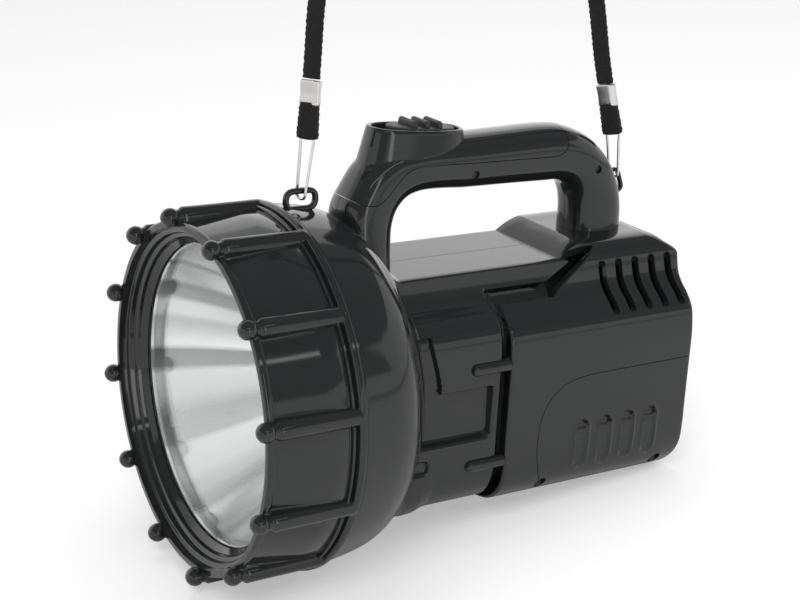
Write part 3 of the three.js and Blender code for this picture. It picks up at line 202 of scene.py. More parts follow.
def stops(*spans):
    """Joins spans (from, to, step) into one rising list of places without repeats."""
    lists = [np.linspace(a, b, max(2, int(math.ceil((b - a) / step)) + 1)) for a, b, step in spans]
    return np.unique(np.round(np.concatenate(lists), 5))


def grid_shell(grid, wrap_rows=False, wrap_columns=False):
    """Points and quads of a grid of points; a wrapped direction joins its last line to its
    first."""
    rows, columns = grid.shape[:2]
    index = np.arange(rows * columns).reshape(rows, columns)
    if wrap_rows:
        index = np.vstack([index, index[:1]])
    if wrap_columns:
        index = np.hstack([index, index[:, :1]])
    quads = np.stack([index[:-1, :-1], index[1:, :-1], index[1:, 1:], index[:-1, 1:]], -1)
    return grid.reshape(-1, 3), quads.reshape(-1, 4)


def closed_tube(grid):
    """A grid whose columns go round, with its first and last rows closed at their middles."""
    ends = [np.repeat(grid[row].mean(0)[None], grid.shape[1], 0)[None] for row in (0, -1)]
    return grid_shell(np.concatenate([ends[0], grid, ends[1]]), wrap_columns=True)


def revolved(profile, sides, wrap_rows=True):
    """Turns (x, r) points about the lamp's axis: (x, -r sin a, r cos a)."""
    angle = full_turn(sides)[None, :]
    x, r = (np.asarray(profile, float)[:, axis][:, None] for axis in range(2))
    points = np.stack([x + 0 * angle, -r * np.sin(angle), r * np.cos(angle)], -1)
    return grid_shell(points, wrap_rows, True)


def round_nose(x, radius):
    """A quarter circle from the axis at x to its full radius, as (x, r) points."""
    return [(x + radius * (1 - math.cos(a)), radius * math.sin(a))
            for a in np.linspace(0, math.pi / 2, 9)]


def moved(shell, offset):
    return shell[0] + np.asarray(offset, float), shell[1]


def at_width(outline, y):
    """A side view of (x, z) points, set at one place across the lamp."""
    return np.stack([outline[:, 0], np.full(len(outline), y), outline[:, 1]], 1)


def raw_object(name, shells, weld=0.002, recalculate=True):
    """One mesh object from several shells, with coinciding points welded and faces turned out."""
    counts = np.cumsum([0] + [len(points) for points, _ in shells])
    points = on_floor(np.concatenate([points for points, _ in shells]))
    quads = np.concatenate([quads + start for (_, quads), start in zip(shells, counts)])
    mesh = bpy.data.meshes.new(name)
    mesh.from_pydata(points, [], quads)
    work = bmesh.new()
    work.from_mesh(mesh)
    bmesh.ops.remove_doubles(work, verts=work.verts, dist=weld * MM)
    if recalculate:
        bmesh.ops.recalc_face_normals(work, faces=work.faces)
    work.to_mesh(mesh)
    work.free()
    return linked(name, mesh)


def applied(made):
    """Turns an object's modifiers into its mesh."""
    graph = bpy.context.evaluated_depsgraph_get()
    graph.update()
    mesh = bpy.data.meshes.new_from_object(made.evaluated_get(graph))
    made.modifiers.clear()
    made.data = mesh
    return made


def walled(made, thickness, middle):
    """Gives an open surface a wall on its inner side. Its faces are first turned away from a point
    inside: the sum of area * normal . (face centre - middle) has to come out positive."""
    faces = made.data.polygons
    centre, normal, area = (np.empty(len(faces) * size) for size in (3, 3, 1))
    for key, values in (("center", centre), ("normal", normal), ("area", area)):
        faces.foreach_get(key, values)
    away = centre.reshape(-1, 3) - on_floor(middle)
    if np.sum(area * np.sum(away * normal.reshape(-1, 3), 1)) < 0:
        made.data.flip_normals()
    solidify = made.modifiers.new("wall", "SOLIDIFY")
    solidify.thickness, solidify.offset = thickness * MM, -1
    solidify.use_even_offset = False
    return applied(made)


def carved(made, tool, operation="DIFFERENCE", keep_tool=False):
    """Cuts, joins or intersects an object with another one."""
    modifier = made.modifiers.new("carve", "BOOLEAN")
    modifier.operation, modifier.solver, modifier.object = operation, "MANIFOLD", tool
    applied(made)
    if not keep_tool:
        bpy.data.objects.remove(tool)
    return made


def copied(made, name):
    return linked(name, made.data.copy())


def prism(name, outline, low, high):
    """Extrudes a side view of (x, z) points across the lamp, from one y to another."""
    outline = np.asarray(outline, float)
    work = bmesh.new()
    rings = [[work.verts.new(point) for point in on_floor(at_width(outline, y))]
             for y in (low, high)]
    count = len(outline)
    for side in range(count):
        after = (side + 1) % count
        work.faces.new([rings[0][side], rings[0][after], rings[1][after], rings[1][side]])
    work.faces.new(rings[0])
    work.faces.new(rings[1][::-1])
    bmesh.ops.recalc_face_normals(work, faces=work.faces)
    bmesh.ops.triangulate(work, faces=work.faces)
    mesh = bpy.data.meshes.new(name)
    work.to_mesh(mesh)
    work.free()
    return linked(name, mesh)


def finished(made, material, nodes=(), sharp=40, body="lamp"):
    """Gives the piece its finish and body, hides the CAD nodes it stands for, and shades it smooth
    up to an angle.
    """
    made.data.materials.clear()
    made.data.materials.append(material)
    made.data.shade_smooth()
    made.data.set_sharp_from_angle(angle=math.radians(sharp))
    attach(made, body)
    if nodes:
        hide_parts(*nodes)
    print(made.name, len(made.data.polygons), "faces")
    return made


# %% [markdown]
# Finishes are node materials. The plastic is nearly black and very smooth, so almost all that one
# sees of it is reflection. Faint flow marks in its roughness and a trace of unevenness keep it
# from looking like paint. All patterns read Object coordinates in metres.

# %% Materials
BLACK_GLOSS = (0.0108, 0.0116, 0.0121, 1)


def new_material(name, color, roughness, metallic=0.0):
    material = bpy.data.materials.new(name)
    material.use_nodes = True
    shader = material.node_tree.nodes["Principled BSDF"]
    shader.inputs["Base Color"].default_value = color
    shader.inputs["Roughness"].default_value = roughness
    shader.inputs["Metallic"].default_value = metallic
    return material, shader


def add(material, kind, **settings):
    """Adds a node, with its properties and the defaults of its sockets."""
    node = material.node_tree.nodes.new(kind)
    for key, value in settings.items():
        if hasattr(node, key):
            setattr(node, key, value)
        else:
            node.inputs[key.replace("_", " ")].default_value = value
    return node


def wire(material, *pairs):
    """Links output sockets to input sockets, given as pairs."""
    for source, target in pairs:
        material.node_tree.links.new(source, target)


def noise(material, scale, detail=2.0, stretch=(1, 1, 1)):
    """Noise over Object coordinates: scale is in waves per metre."""
    place = add(material, "ShaderNodeTexCoord")
    mapping = add(material, "ShaderNodeMapping", Scale=stretch)
    texture = add(material, "ShaderNodeTexNoise", Scale=scale, Detail=detail)
    wire(material, (place.outputs["Object"], mapping.inputs["Vector"]),
         (mapping.outputs["Vector"], texture.inputs["Vector"]))
    return texture.outputs["Fac"]


def spread(material, source, low, high):
    """Maps a pattern from 0..1 to low..high."""
    ramp = add(material, "ShaderNodeMapRange", To_Min=low, To_Max=high)
    wire(material, (source, ramp.inputs["Value"]))
    return ramp.outputs["Result"]


def tinted(material, source, dark, light):
    """Mixes two colours by a pattern."""
    mix = add(material, "ShaderNodeMix", data_type="RGBA")
    colors = [socket for socket in mix.inputs if socket.type == "RGBA"]
    colors[0].default_value, colors[1].default_value = dark, light
    wire(material, (source, mix.inputs["Factor"]))
    return next(socket for socket in mix.outputs if socket.type == "RGBA")


def bumped(material, shader, source, distance, strength=1.0):
    """Raises the surface by a pattern: distance is in metres."""
    bump = add(material, "ShaderNodeBump", Distance=distance, Strength=strength)
    wire(material, (source, bump.inputs["Height"]),
         (bump.outputs["Normal"], shader.inputs["Normal"]))


def moulded_plastic(name, color, rough_low, rough_high, grain, grain_scale):
    """Moulded plastic: colour and gloss that drift slowly, over a fine grain or a soft wave."""
    material, shader = new_material(name, color, rough_low)
    lighter = tuple(channel * 1.25 for channel in color[:3]) + (1,)
    drift = tinted(material, noise(material, 35, 3), color, lighter)
    gloss = spread(material, noise(material, 120, 4), rough_low, rough_high)
    wire(material, (drift, shader.inputs["Base Color"]), (gloss, shader.inputs["Roughness"]))
    bumped(material, shader, noise(material, grain_scale, 2), grain)
    return material


gloss_black = moulded_plastic("gloss_black", BLACK_GLOSS, 0.06, 0.12, 0.00001, 60)
soft_black = moulded_plastic("soft_black", (0.02, 0.02, 0.021, 1), 0.42, 0.55, 0.00005, 2500)
seal_rubber = moulded_plastic("seal_rubber", (0.012, 0.012, 0.012, 1), 0.6, 0.8, 0.00004, 1500)
ceramic = moulded_plastic("holder_ceramic", (0.62, 0.59, 0.5, 1), 0.45, 0.6, 0.00003, 1800)
battery_case = moulded_plastic("battery_case", (0.06, 0.065, 0.07, 1), 0.4, 0.55, 0.00005, 1400)
print("plastics made")

# %% [markdown]
# The metals: nickel on the strap's hardware, dark steel screws, and the bulb's cap. Rolled and
# drawn metal has fine lines along its length, so the noise that drives its gloss is stretched.

# %% Metals and glass


def plated(name, color, rough_low, rough_high, stretch=(1, 1, 0.08)):
    material, shader = new_material(name, color, rough_low, 1.0)
    lines = noise(material, 1500, 3, stretch)
    darker = tuple(channel * 0.8 for channel in color[:3]) + (1,)
    tone = tinted(material, noise(material, 250, 3), darker, color)
    wire(material, (tone, shader.inputs["Base Color"]),
         (spread(material, lines, rough_low, rough_high), shader.inputs["Roughness"]))
    return material


bright_nickel = plated("bright_nickel", (0.78, 0.75, 0.73, 1), 0.12, 0.3)
dark_steel = plated("dark_steel", (0.05, 0.05, 0.052, 1), 0.3, 0.5, (1, 1, 1))
bulb_metal = plated("bulb_metal", (0.6, 0.58, 0.55, 1), 0.25, 0.4)
clear_glass, glass_shader = new_material("clear_glass", (0.97, 0.985, 0.98, 1), 0.02)
glass_shader.inputs["Transmission Weight"].default_value = 1.0
glass_shader.inputs["IOR"].default_value = 1.46
print("metals and glass made")

# %% [markdown]
# The bowl's bright coat is vapour-deposited aluminium under lacquer. Its colour carries painted
# reflections: bright and dark wedges round the lamp's axis, and its gloss follows the same wedges,
# so tone and gloss are functions of the angle round the lamp's axis.

# %% Mirror coat
# Painted reflections: each wedge is a place round the axis and how bright its painted reflection
# makes the coat.
PAINTED_REFLECTION_WEDGES = [  # turn round the axis as a share of a full circle, then how bright the coat looks there
    (0.000, 0.74), (0.012, 0.55), (0.03, 0.92), (0.14, 0.60), (0.26, 0.95), (0.38, 0.6),
    (0.47, 0.62), (0.55, 0.9), (0.598, 0.95), (0.613, 0.93), (0.621, 0.42), (0.629, 0.92),
    (0.653, 0.95), (0.661, 0.45), (0.679, 0.55), (0.689, 1.0), (0.702, 0.98), (0.714, 0.72),
    (0.748, 0.96), (0.753, 0.40), (0.773, 0.46), (0.781, 0.86), (0.805, 0.80), (0.835, 0.58),
    (0.863, 0.66), (0.870, 0.90), (0.903, 0.86), (0.922, 0.76), (0.952, 0.60), (0.968, 0.95),
    (1.0, 0.74),
]
PAINTED_WEDGE_CONTRAST, PAINTED_WEDGE_BLUE = 1.5, 1.01
ROUGH_DARK, ROUGH_BRIGHT = 0.34, 0.2

mirror_coat, mirror_shader = new_material("mirror_coat", (0.9, 0.9, 0.92, 1), 0.2, 1.0)
place = add(mirror_coat, "ShaderNodeTexCoord")
to_lamp = add(mirror_coat, "ShaderNodeMapping", vector_type="TEXTURE", Location=tuple(STAND),
              Rotation=(0, TILT, 0))
split = add(mirror_coat, "ShaderNodeSeparateXYZ")
turn_angle = add(mirror_coat, "ShaderNodeMath", operation="ARCTAN2")
turn_share = add(mirror_coat, "ShaderNodeMapRange", From_Min=-math.pi, From_Max=math.pi)
# This ramp paints the reflection wedges into the base colour, and also sets the roughness.
painted_wedges = add(mirror_coat, "ShaderNodeValToRGB")
painted_wedges.color_ramp.interpolation = "EASE"
for share, tone in PAINTED_REFLECTION_WEDGES[1:-1]:
    painted_wedges.color_ramp.elements.new(share)
for element, (share, tone) in zip(painted_wedges.color_ramp.elements, PAINTED_REFLECTION_WEDGES):
    bright = tone**PAINTED_WEDGE_CONTRAST
    element.position = share
    element.color = (bright, bright, bright * PAINTED_WEDGE_BLUE, 1)
gloss = spread(mirror_coat, painted_wedges.outputs["Color"], ROUGH_DARK, ROUGH_BRIGHT)
wire(mirror_coat, (place.outputs["Object"], to_lamp.inputs["Vector"]),
     (to_lamp.outputs["Vector"], split.inputs["Vector"]),
     (split.outputs["Y"], turn_angle.inputs[0]), (split.outputs["Z"], turn_angle.inputs[1]),
     (turn_angle.outputs["Value"], turn_share.inputs["Value"]),
     (turn_share.outputs["Result"], painted_wedges.inputs["Fac"]),
     (painted_wedges.outputs["Color"], mirror_shader.inputs["Base Color"]),
     (gloss, mirror_shader.inputs["Roughness"]))
print("mirror coat with", len(PAINTED_REFLECTION_WEDGES), "painted_wedges")

# %% [markdown]
# The strap is one flat braid of spun cord. It is the lamp's only free cord, so it is made before
# the hard parts: its path repeats the CAD route, and its section is a flat oval whose surface is
# worked into crossing strands. A strand stands proud where it crosses over its neighbour.

# %% Strap
STRAP_WIDTH, STRAP_THICKNESS = 8.0, 2.6
STRAP_ROUTE = [
    (58.32, 138.5), (58.7, 149), (59.7, 171.7), (63.5, 192), (75, 213), (95, 228), (122, 236),
    (150, 233), (175, 220), (193, 202), (204.6, 184), (210.4, 163), (215.2, 142.4),
    (219.27, 127.5),
]
STRAP_TURN = math.radians(50)   # the braid's width, from the lamp's axis towards the user's left
STRAP_FACE = np.array([math.cos(STRAP_TURN), -math.sin(STRAP_TURN), 0])
STRAND_WAVES, STRAND_DIP, STRAND_RISE = 2.5, 0.35, 0.45
THREAD_BLACK = (0.006, 0.006, 0.0065, 1)


def braid(path, width, thickness, pitch=5.2, across=44):
    """A flat oval tube: point = path + width/2 cos(a) * side + thickness/2 sin(a) * front. The
    strands are two crossing sets of ridges, h = |sin(pi (2 v +- u))|, of which the higher one
    shows."""
    ahead = unit(np.gradient(path, axis=0))
    side = unit(STRAP_FACE - ahead * (ahead @ STRAP_FACE)[:, None])
    front = np.cross(ahead, side)
    angle = full_turn(across)[None, :]
    u = STRAND_WAVES * np.cos(angle)
    v = run_along(path)[:, None] / pitch
    first = np.abs(np.sin(np.pi * (v + u / 2)))
    second = np.abs(np.sin(np.pi * (v - u / 2 + 0.5)))
    over = np.sin(np.pi * u) * np.sin(2 * np.pi * v) > 0
    height = np.where(over, first, second) ** 0.7
    edge = 1 + 0.035 * np.sin(2 * np.pi * v * 2) * np.abs(np.cos(angle)) ** 6
    wide = width / 2 * bent(np.cos(angle), 0.8) * edge * (0.955 + 0.04 * height)
    deep = (thickness / 2 - STRAND_DIP + STRAND_RISE * height) * bent(np.sin(angle), 0.65)
    return path[:, None] + wide[..., None] * side[:, None] + deep[..., None] * front[:, None]


strap_path = along(spline([(x, 0, z) for x, z in STRAP_ROUTE], 400), 0.55)
strap_braid, braid_shader = new_material("strap_braid", THREAD_BLACK, 0.85)
fibre = noise(strap_braid, 2600, 3, (1, 1, 0.35))
fibre_tone = tinted(strap_braid, fibre, (0.0015, 0.0015, 0.0017, 1), THREAD_BLACK)
wire(strap_braid, (fibre_tone, braid_shader.inputs["Base Color"]))
bumped(strap_braid, braid_shader, fibre, 0.00025, 0.7)
braid_shader.inputs["Sheen Weight"].default_value = 0.05
braid_shader.inputs["Sheen Roughness"].default_value = 0.6
strap_shell = closed_tube(braid(strap_path, STRAP_WIDTH, STRAP_THICKNESS))
strap = finished(raw_object("carrying_strap", [strap_shell]), strap_braid,
                 ["strap"], 60)

# %% [markdown]
# Each end of the strap runs through a flat nickel crimp into a doubled end, the fold, whose loop
# holds a bent wire clip. The clip drops beside the eye, hooks under its upper bar and comes up on
# the other side. Both strands share one formula: top is the crimp's top, lean is how far it leans
# back.

# %% Places of the strap's ends
FRONT_STRAND = {"top": (58.3, 138.1), "lean": math.radians(-2.2)}
REAR_STRAND = {"top": (219.4, 127.1), "lean": math.radians(16.4)}
CRIMP_LENGTH, CRIMP_HALF, CRIMP_RIM, FIT = 10.9, 4.7, 0.5, 0.3
FOLD_LENGTH, FOLD_WIDTH, FOLD_THICKNESS = 15.5, 10.4, 5.4


def down(strand, distance):
    """A point down the strand: top + distance * (sin lean, 0, -cos lean)."""
    return np.array([strand["top"][0] + distance * math.sin(strand["lean"]), 0,
                     strand["top"][1] - distance * math.cos(strand["lean"])])


def strand_frame(strand):
    """Up the strand, its width and its thickness direction."""
    up = np.array([-math.sin(strand["lean"]), 0, math.cos(strand["lean"])])
    width = unit(STRAP_FACE - up * (up @ STRAP_FACE))
    return up, width, np.cross(up, width)


def strap_fold(name, strand, node):
    """The doubled end: a braid twice as thick, wider at its bottom where the loop turns."""
    top = down(strand, CRIMP_LENGTH - 1)
    bottom = down(strand, CRIMP_LENGTH + FIT + FOLD_LENGTH - 0.5)
    path = along([top, bottom], 0.4)
    grid = braid(path, FOLD_WIDTH, FOLD_THICKNESS, pitch=4.4, across=52)
    share = np.linspace(0, 1, len(path))[:, None, None]
    swell = 0.86 + 0.12 * share
    closing = np.sqrt(np.clip(1 - np.clip((share - 0.93) / 0.07, 0, 1) ** 2, 0.16, 1))
    grid = path[:, None] + (grid - path[:, None]) * swell * closing
    return finished(raw_object(name, [closed_tube(grid)]), strap_braid, [node], 60)


def crimp(name, strand, node):
    """A flat band bent round the strap: a rounded box whose face has a fold line where the band
    laps over its own end, and whose rims are turned in a little."""
    up, width, depth = strand_frame(strand)
    outline = rounded([(-CRIMP_HALF, -1.9), (CRIMP_HALF, -1.9), (CRIMP_HALF, 1.9), (1.6, 2.25),
                       (1.3, 1.75), (-CRIMP_HALF, 1.75)], [1.1, 1.1, 1.0, 0.35, 0.2, 1.1], 6)
    last = CRIMP_LENGTH - CRIMP_RIM
    rows = stops((0, CRIMP_RIM, 0.12), (CRIMP_RIM, last, 1.2), (last, CRIMP_LENGTH, 0.12))
    inset = 0.35 * (1 - blend(0, CRIMP_RIM, rows)) + 0.35 * blend(last, CRIMP_LENGTH, rows)
    pinch = 1 - 0.05 * np.sin(np.pi * rows / CRIMP_LENGTH) ** 2
    scale = ((1 - inset / CRIMP_HALF) * pinch)[:, None, None]
    shape = (down(strand, CRIMP_LENGTH) + up * rows[:, None, None]
             + width * (outline[None, :, :1] * scale) + depth * (-outline[None, :, 1:] * scale))
    return finished(raw_object(name, [closed_tube(shape)]), bright_nickel,
                    [node], 50)


# %% Wire clips and eyes
BEZEL_REAR, DOME_RADIUS = 44.3, 82.6
HANDLE_FRONT, HANDLE_LENGTH, HANDLE_HEIGHT, DECK = 72.5, 162.0, 59.0, 51.3
EYE_GAP, EYE_SINK, EYE_THICKNESS, WIRE_RADIUS = 2.1, 2.8, 3.0, 0.7
FRONT_EYE = {"length": 17.3, "height": 10.8, "bar": 2.7, "corner": 4.4, "lean": 0.0}
REAR_EYE = {"length": 13.5, "height": 7.8, "bar": 2.0, "corner": 3.0, "lean": math.radians(68.6)}
FRONT_EYE["place"] = (BEZEL_REAR + EYE_GAP + FRONT_EYE["length"] / 2,
                      DOME_RADIUS - EYE_SINK + FRONT_EYE["height"] / 2)
REAR_EYE["place"] = (HANDLE_FRONT + HANDLE_LENGTH * 0.976, DECK + HANDLE_HEIGHT * 0.461)


def tube(path, radius, sides=12):
    """A round tube along a path, with a frame that is carried from point to point without
    twist."""
    path = np.asarray(path, float)
    ahead = unit(np.gradient(path, axis=0))
    side = np.zeros_like(path)
    current = np.cross(ahead[0], [0.3, 0.9, 0.1])
    for row, direction in enumerate(ahead):
        current = current - direction * (direction @ current)
        current /= np.linalg.norm(current)
        side[row] = current
    front = np.cross(ahead, side)
    angle = full_turn(sides)[None, :, None]
    ring = np.cos(angle) * side[:, None] + np.sin(angle) * front[:, None]
    return closed_tube(path[:, None] + radius * ring)


def eye_ring(eye):
    """A flat ring: a rounded rectangle whose section is a soft square of bar by thickness."""
    half = np.array([eye["length"] - eye["bar"], eye["height"] - eye["bar"]]) / 2
    corners = np.array([(-1, -1), (1, -1), (1, 1), (-1, 1)]) * half
    line = rounded(corners, eye["corner"], 10)
    path = along(np.vstack([line, line[:1]]), 0.7)[:-1]
    ahead = unit(np.roll(path, -1, 0) - np.roll(path, 1, 0))
    outward = np.stack([ahead[:, 1], -ahead[:, 0]], 1)
    along_bar, through = (bent(turned(full_turn(16)), 0.75) for turned in (np.cos, np.sin))
    flat = path[:, None] + outward[:, None] * (eye["bar"] / 2 * along_bar)[None, :, None]
    across = np.broadcast_to(EYE_THICKNESS / 2 * through, flat.shape[:2])
    cosine, sine = math.cos(eye["lean"]), math.sin(eye["lean"])
    x = eye["place"][0] + flat[..., 0] * cosine + flat[..., 1] * sine
    z = eye["place"][1] - flat[..., 0] * sine + flat[..., 1] * cosine
    return grid_shell(np.stack([x, across, z], -1), True, True)


def wire_clip(name, strand, hook, node, twist=0.25):
    """The wire's route: from the fold's loop down to the eye on one side, under its bar, and up on
    the other. Its two legs turn from the strap's width to straight across the lamp on the way
    down."""
    clear = EYE_THICKNESS / 2 + WIRE_RADIUS + 2 * FIT
    end = down(strand, CRIMP_LENGTH + FOLD_LENGTH + 2 * FIT)
    _, width, _ = strand_frame(strand)
    sideways = np.array([0, -1.0, 0])
    hook = np.array([hook[0], 0, hook[1]])
    reach = clear * (1 / -(sideways * (1 - twist) + width * twist)[1])
    rows = [(1.18, 0.2, 0), (1.1, 2.6, 0), (1, 3.0, 0), (0.8, 2.9, 0), (0.45, reach, 0),
            (0.2, reach, 0), (0.07, reach, 0), (0, reach * 0.85, -WIRE_RADIUS / 2),
            (0, reach * 0.45, -WIRE_RADIUS - FIT)]

    def leg(sign):
        points = []
        for share, out, lift in rows:
            turned = twist + (1 - twist) * min(share, 1)
            direction = sideways * (1 - turned) + width * turned
            points.append(hook + (end - hook) * share + [0, 0, lift] + direction * sign * out)
        return points

    bottom = [hook - [0, 0, WIRE_RADIUS + 2 * FIT]]
    route = spline(leg(1) + bottom + leg(-1)[::-1], 130)
    return finished(raw_object(name, [tube(route, WIRE_RADIUS)]), bright_nickel,
                    [node], 60)


front_reach = FRONT_EYE["height"] / 2 - FRONT_EYE["bar"] - WIRE_RADIUS - FIT
front_hook = (FRONT_EYE["place"][0], FRONT_EYE["place"][1] + front_reach)
rear_reach = REAR_EYE["length"] / 2 - REAR_EYE["bar"] - WIRE_RADIUS - FIT
rear_hook = (REAR_EYE["place"][0] - rear_reach * math.cos(REAR_EYE["lean"]) + FIT,
             REAR_EYE["place"][1] + rear_reach * math.sin(REAR_EYE["lean"]))
ENDS = (("front", FRONT_STRAND, front_hook), ("rear", REAR_STRAND, rear_hook))
strap_pieces = [strap_fold("strap_end_" + end, strand, end + "_strap_fold")
                for end, strand, _ in ENDS]
strap_pieces += [crimp("crimp_band_" + end, strand, end + "_crimp") for end, strand, _ in ENDS]
strap_pieces += [wire_clip("clip_wire_" + end, strand, hook, end + "_wire_clip")
                 for end, strand, hook in ENDS]
for end, eye in (("front", FRONT_EYE), ("rear", REAR_EYE)):
    finished(raw_object("eye_" + end, [eye_ring(eye)]), gloss_black,
             [end + "_strap_eye"], 60)

# %% [markdown]
# The bezel is the piece that takes the most skill. Its outside is one surface: a list of stations
# along the lamp, each a circle that swells into twelve round-backed ribs. The ribs' balls are set
# on the rim in front. Panels between the ribs are sunk, with a border in front and a bead behind.

# %% Bezel
RIB_CIRCLE, RIB_COUNT, RIB_TURN = 80.0, 12, math.radians(-10.8)
RIB_BALL, RIB_BAR = 4.3, 4.3
BEZEL_OUTSIDE = [  # x, radius of the surface between the ribs
    (1.5, 77.6), (1.6, 78.1), (1.95, 78.5), (4.0, 78.75), (4.35, 78.6), (4.75, 77.8), (5.2, 77.5),
    (12, 78.2), (20, 79.05), (28, 79.9), (37.0, 80.95), (37.35, 80.75), (37.6, 80.4), (38.4, 80.4),
    (38.6, 80.9), (38.75, 81.7), (39.05, 82.0), (39.55, 82.0), (39.8, 81.7), (39.95, 80.9),
    (40.15, 80.45), (40.8, 80.45), (41.0, 80.9), (41.1, 82.3), (41.4, 83.2), (42.1, 83.75),
    (42.8, 83.9), (43.7, 83.9), (44.15, 83.7), (44.3, 83.3),
]
BEZEL_INSIDE = [
    (44.3, 75.3), (43.9, 74.6), (18.4, 74.5), (18.4, 70.1), (13.0, 70.1), (13.0, 67.5),
    (10.5, 70.4), (8.5, 70.8), (8.0, 72.6), (5.5, 73.0), (5.0, 75.0), (1.5, 75.5),
]
RIB_RADIUS = [(1.5, 3.3), (4.2, 3.3), (4.7, 3.8), (5.5, 4.3), (42.3, 4.3), (43.4, 3.8), (44.3, 2.9)]
FILLET_OUT, FILLET_UP = np.array([1.0, 0.55, 0.2, 0.0]), np.array([0.0, 0.08, 0.35, 0.9])


def bezel_ring():
    """Each station is a closed line round the axis. Near a rib at angle k, with b the bar's radius
    and R the station's own radius, it is r = max(R, 80 + b cos p) at the offset b sin p from the
    rib's middle, p from -90 to 90 degrees, with a small fillet where the bar meets the panel."""
    outside, rib_line = np.array(BEZEL_OUTSIDE), np.array(RIB_RADIUS)
    x_out = np.unique(np.concatenate([outside[:, 0], rib_line[:, 0]]))
    base_out = np.interp(x_out, outside[:, 0], outside[:, 1])
    bar_out = np.interp(x_out, rib_line[:, 0], rib_line[:, 1])
    inside = rounded(BEZEL_INSIDE, 0.35, 3, closed=False)
    x = np.concatenate([x_out, inside[:, 0]])[:, None]
    base = np.concatenate([base_out, inside[:, 1]])[:, None]
    bar = np.concatenate([bar_out, np.zeros(len(inside))])[:, None]
    swing = np.radians(np.linspace(-90, 90, 17))[None, :]
    has_rib = bar > 0
    edge = np.where(has_rib, bar, RIB_BAR)
    arc_width = edge * np.sin(swing)
    arc_radius = np.where(has_rib, np.maximum(base, RIB_CIRCLE + bar * np.cos(swing)), base)
    wall_width = edge + FILLET_OUT
    wall_radius = base + np.minimum(FILLET_UP, np.maximum(RIB_CIRCLE - base, 0)) * has_rib
    width = np.hstack([-wall_width, arc_width, wall_width[:, ::-1]])
    radius = np.hstack([wall_radius, arc_radius, wall_radius[:, ::-1]])
    angle = np.arctan2(width, RIB_CIRCLE)
    pitch = 2 * np.pi / RIB_COUNT
    gap_share = np.linspace(0, 1, 14)[None, 1:-1]
    gap_angle = angle[:, -1:] + gap_share * (pitch + angle[:, :1] - angle[:, -1:])
    angle = np.hstack([angle, gap_angle])
    radius = np.hstack([radius, np.broadcast_to(base, gap_angle.shape)])
    whole_angle = np.hstack([angle + RIB_TURN + pitch * rib for rib in range(RIB_COUNT)])
    whole_radius = np.tile(radius, RIB_COUNT)
    points = np.stack([np.broadcast_to(x, whole_angle.shape), -whole_radius * np.sin(whole_angle),
                       whole_radius * np.cos(whole_angle)], -1)
    return grid_shell(points, True, True)


def rib_balls():
    """Twelve spheres: (-R cos a, R sin a) turned about its own axis, set on the rib circle."""
    angle = np.linspace(0, np.pi, 17)
    turn = full_turn(24)[None, :]
    along_axis, out = -RIB_BALL * np.cos(angle)[:, None], RIB_BALL * np.sin(angle)[:, None]
    ball = grid_shell(np.stack([along_axis + 0 * turn, out * np.cos(turn), out * np.sin(turn)], -1),
                      wrap_columns=True)
    return [moved(ball, (0, -RIB_CIRCLE * math.sin(middle), RIB_CIRCLE * math.cos(middle)))
            for middle in RIB_TURN + 2 * np.pi / RIB_COUNT * np.arange(RIB_COUNT)]


finished(raw_object("ribbed_bezel", [bezel_ring(), *rib_balls()]), gloss_black,
         ["bezel_ring"], 45, "bezel")

# %% [markdown]
# Behind the bezel's stepped mouth lie the lens, its seal and the bowl. The bowl is a paraboloid,
# x = vertex - r^2 / (4 f), so light from the bulb at its focus leaves it as a straight beam. Its
# mouth has a rolled lip, which shows as a bright line round the lens. The lens has a ring of
# points close to its edge, which keeps the shading of its two faces flat right up to the rim.

# %% Optics
LENS_FRONT, LENS_THICKNESS, LENS_RADIUS, LENS_RIM = 13.3, 2.5, 69.8, 1.0
SEAL_FRONT, SEAL_REAR, SEAL_INSIDE = 16.0, 18.0, 69.0
FOCUS, MOUTH, NECK, BOWL_WALL, BOWL_FRONT, NECK_END = 16.5, 67.5, 12.0, 1.8, 18.7, 92.0
VERTEX = BOWL_FRONT + MOUTH**2 / (4 * FOCUS)
BOWL_LIP = [  # behind the bowl's front, outside its mouth: the rolled lip, then the flange
    (-0.2, -1.2), (-1.6, -1.0), (-2.4, -0.6), (-2.7, 0), (-2.4, 0.8), (-1.6, 1.2), (0, 1.3),
    (0, 6.3), (1.6, 6.3), (1.6, 1.8),
]

lens_rear, lens_flat = LENS_FRONT + LENS_THICKNESS, LENS_RADIUS - LENS_RIM
lens_outline = rounded([(LENS_FRONT, 0), (LENS_FRONT, lens_flat), (LENS_FRONT, LENS_RADIUS),
                        (lens_rear, LENS_RADIUS), (lens_rear, lens_flat), (lens_rear, 0)],
                       0.4, 3, closed=False)
finished(raw_object("clear_lens", [revolved(lens_outline, 144, False)]), clear_glass,
         ["front_lens"], 50, "lens_stack")

seal_outline = rounded([(SEAL_FRONT, SEAL_INSIDE), (SEAL_FRONT, LENS_RADIUS),
                        (SEAL_REAR, LENS_RADIUS), (SEAL_REAR, SEAL_INSIDE)], 0.2, 2)
finished(raw_object("lens_seal", [revolved(seal_outline, 144)]), seal_rubber,
         ["lens_gasket"], 50, "lens_stack")

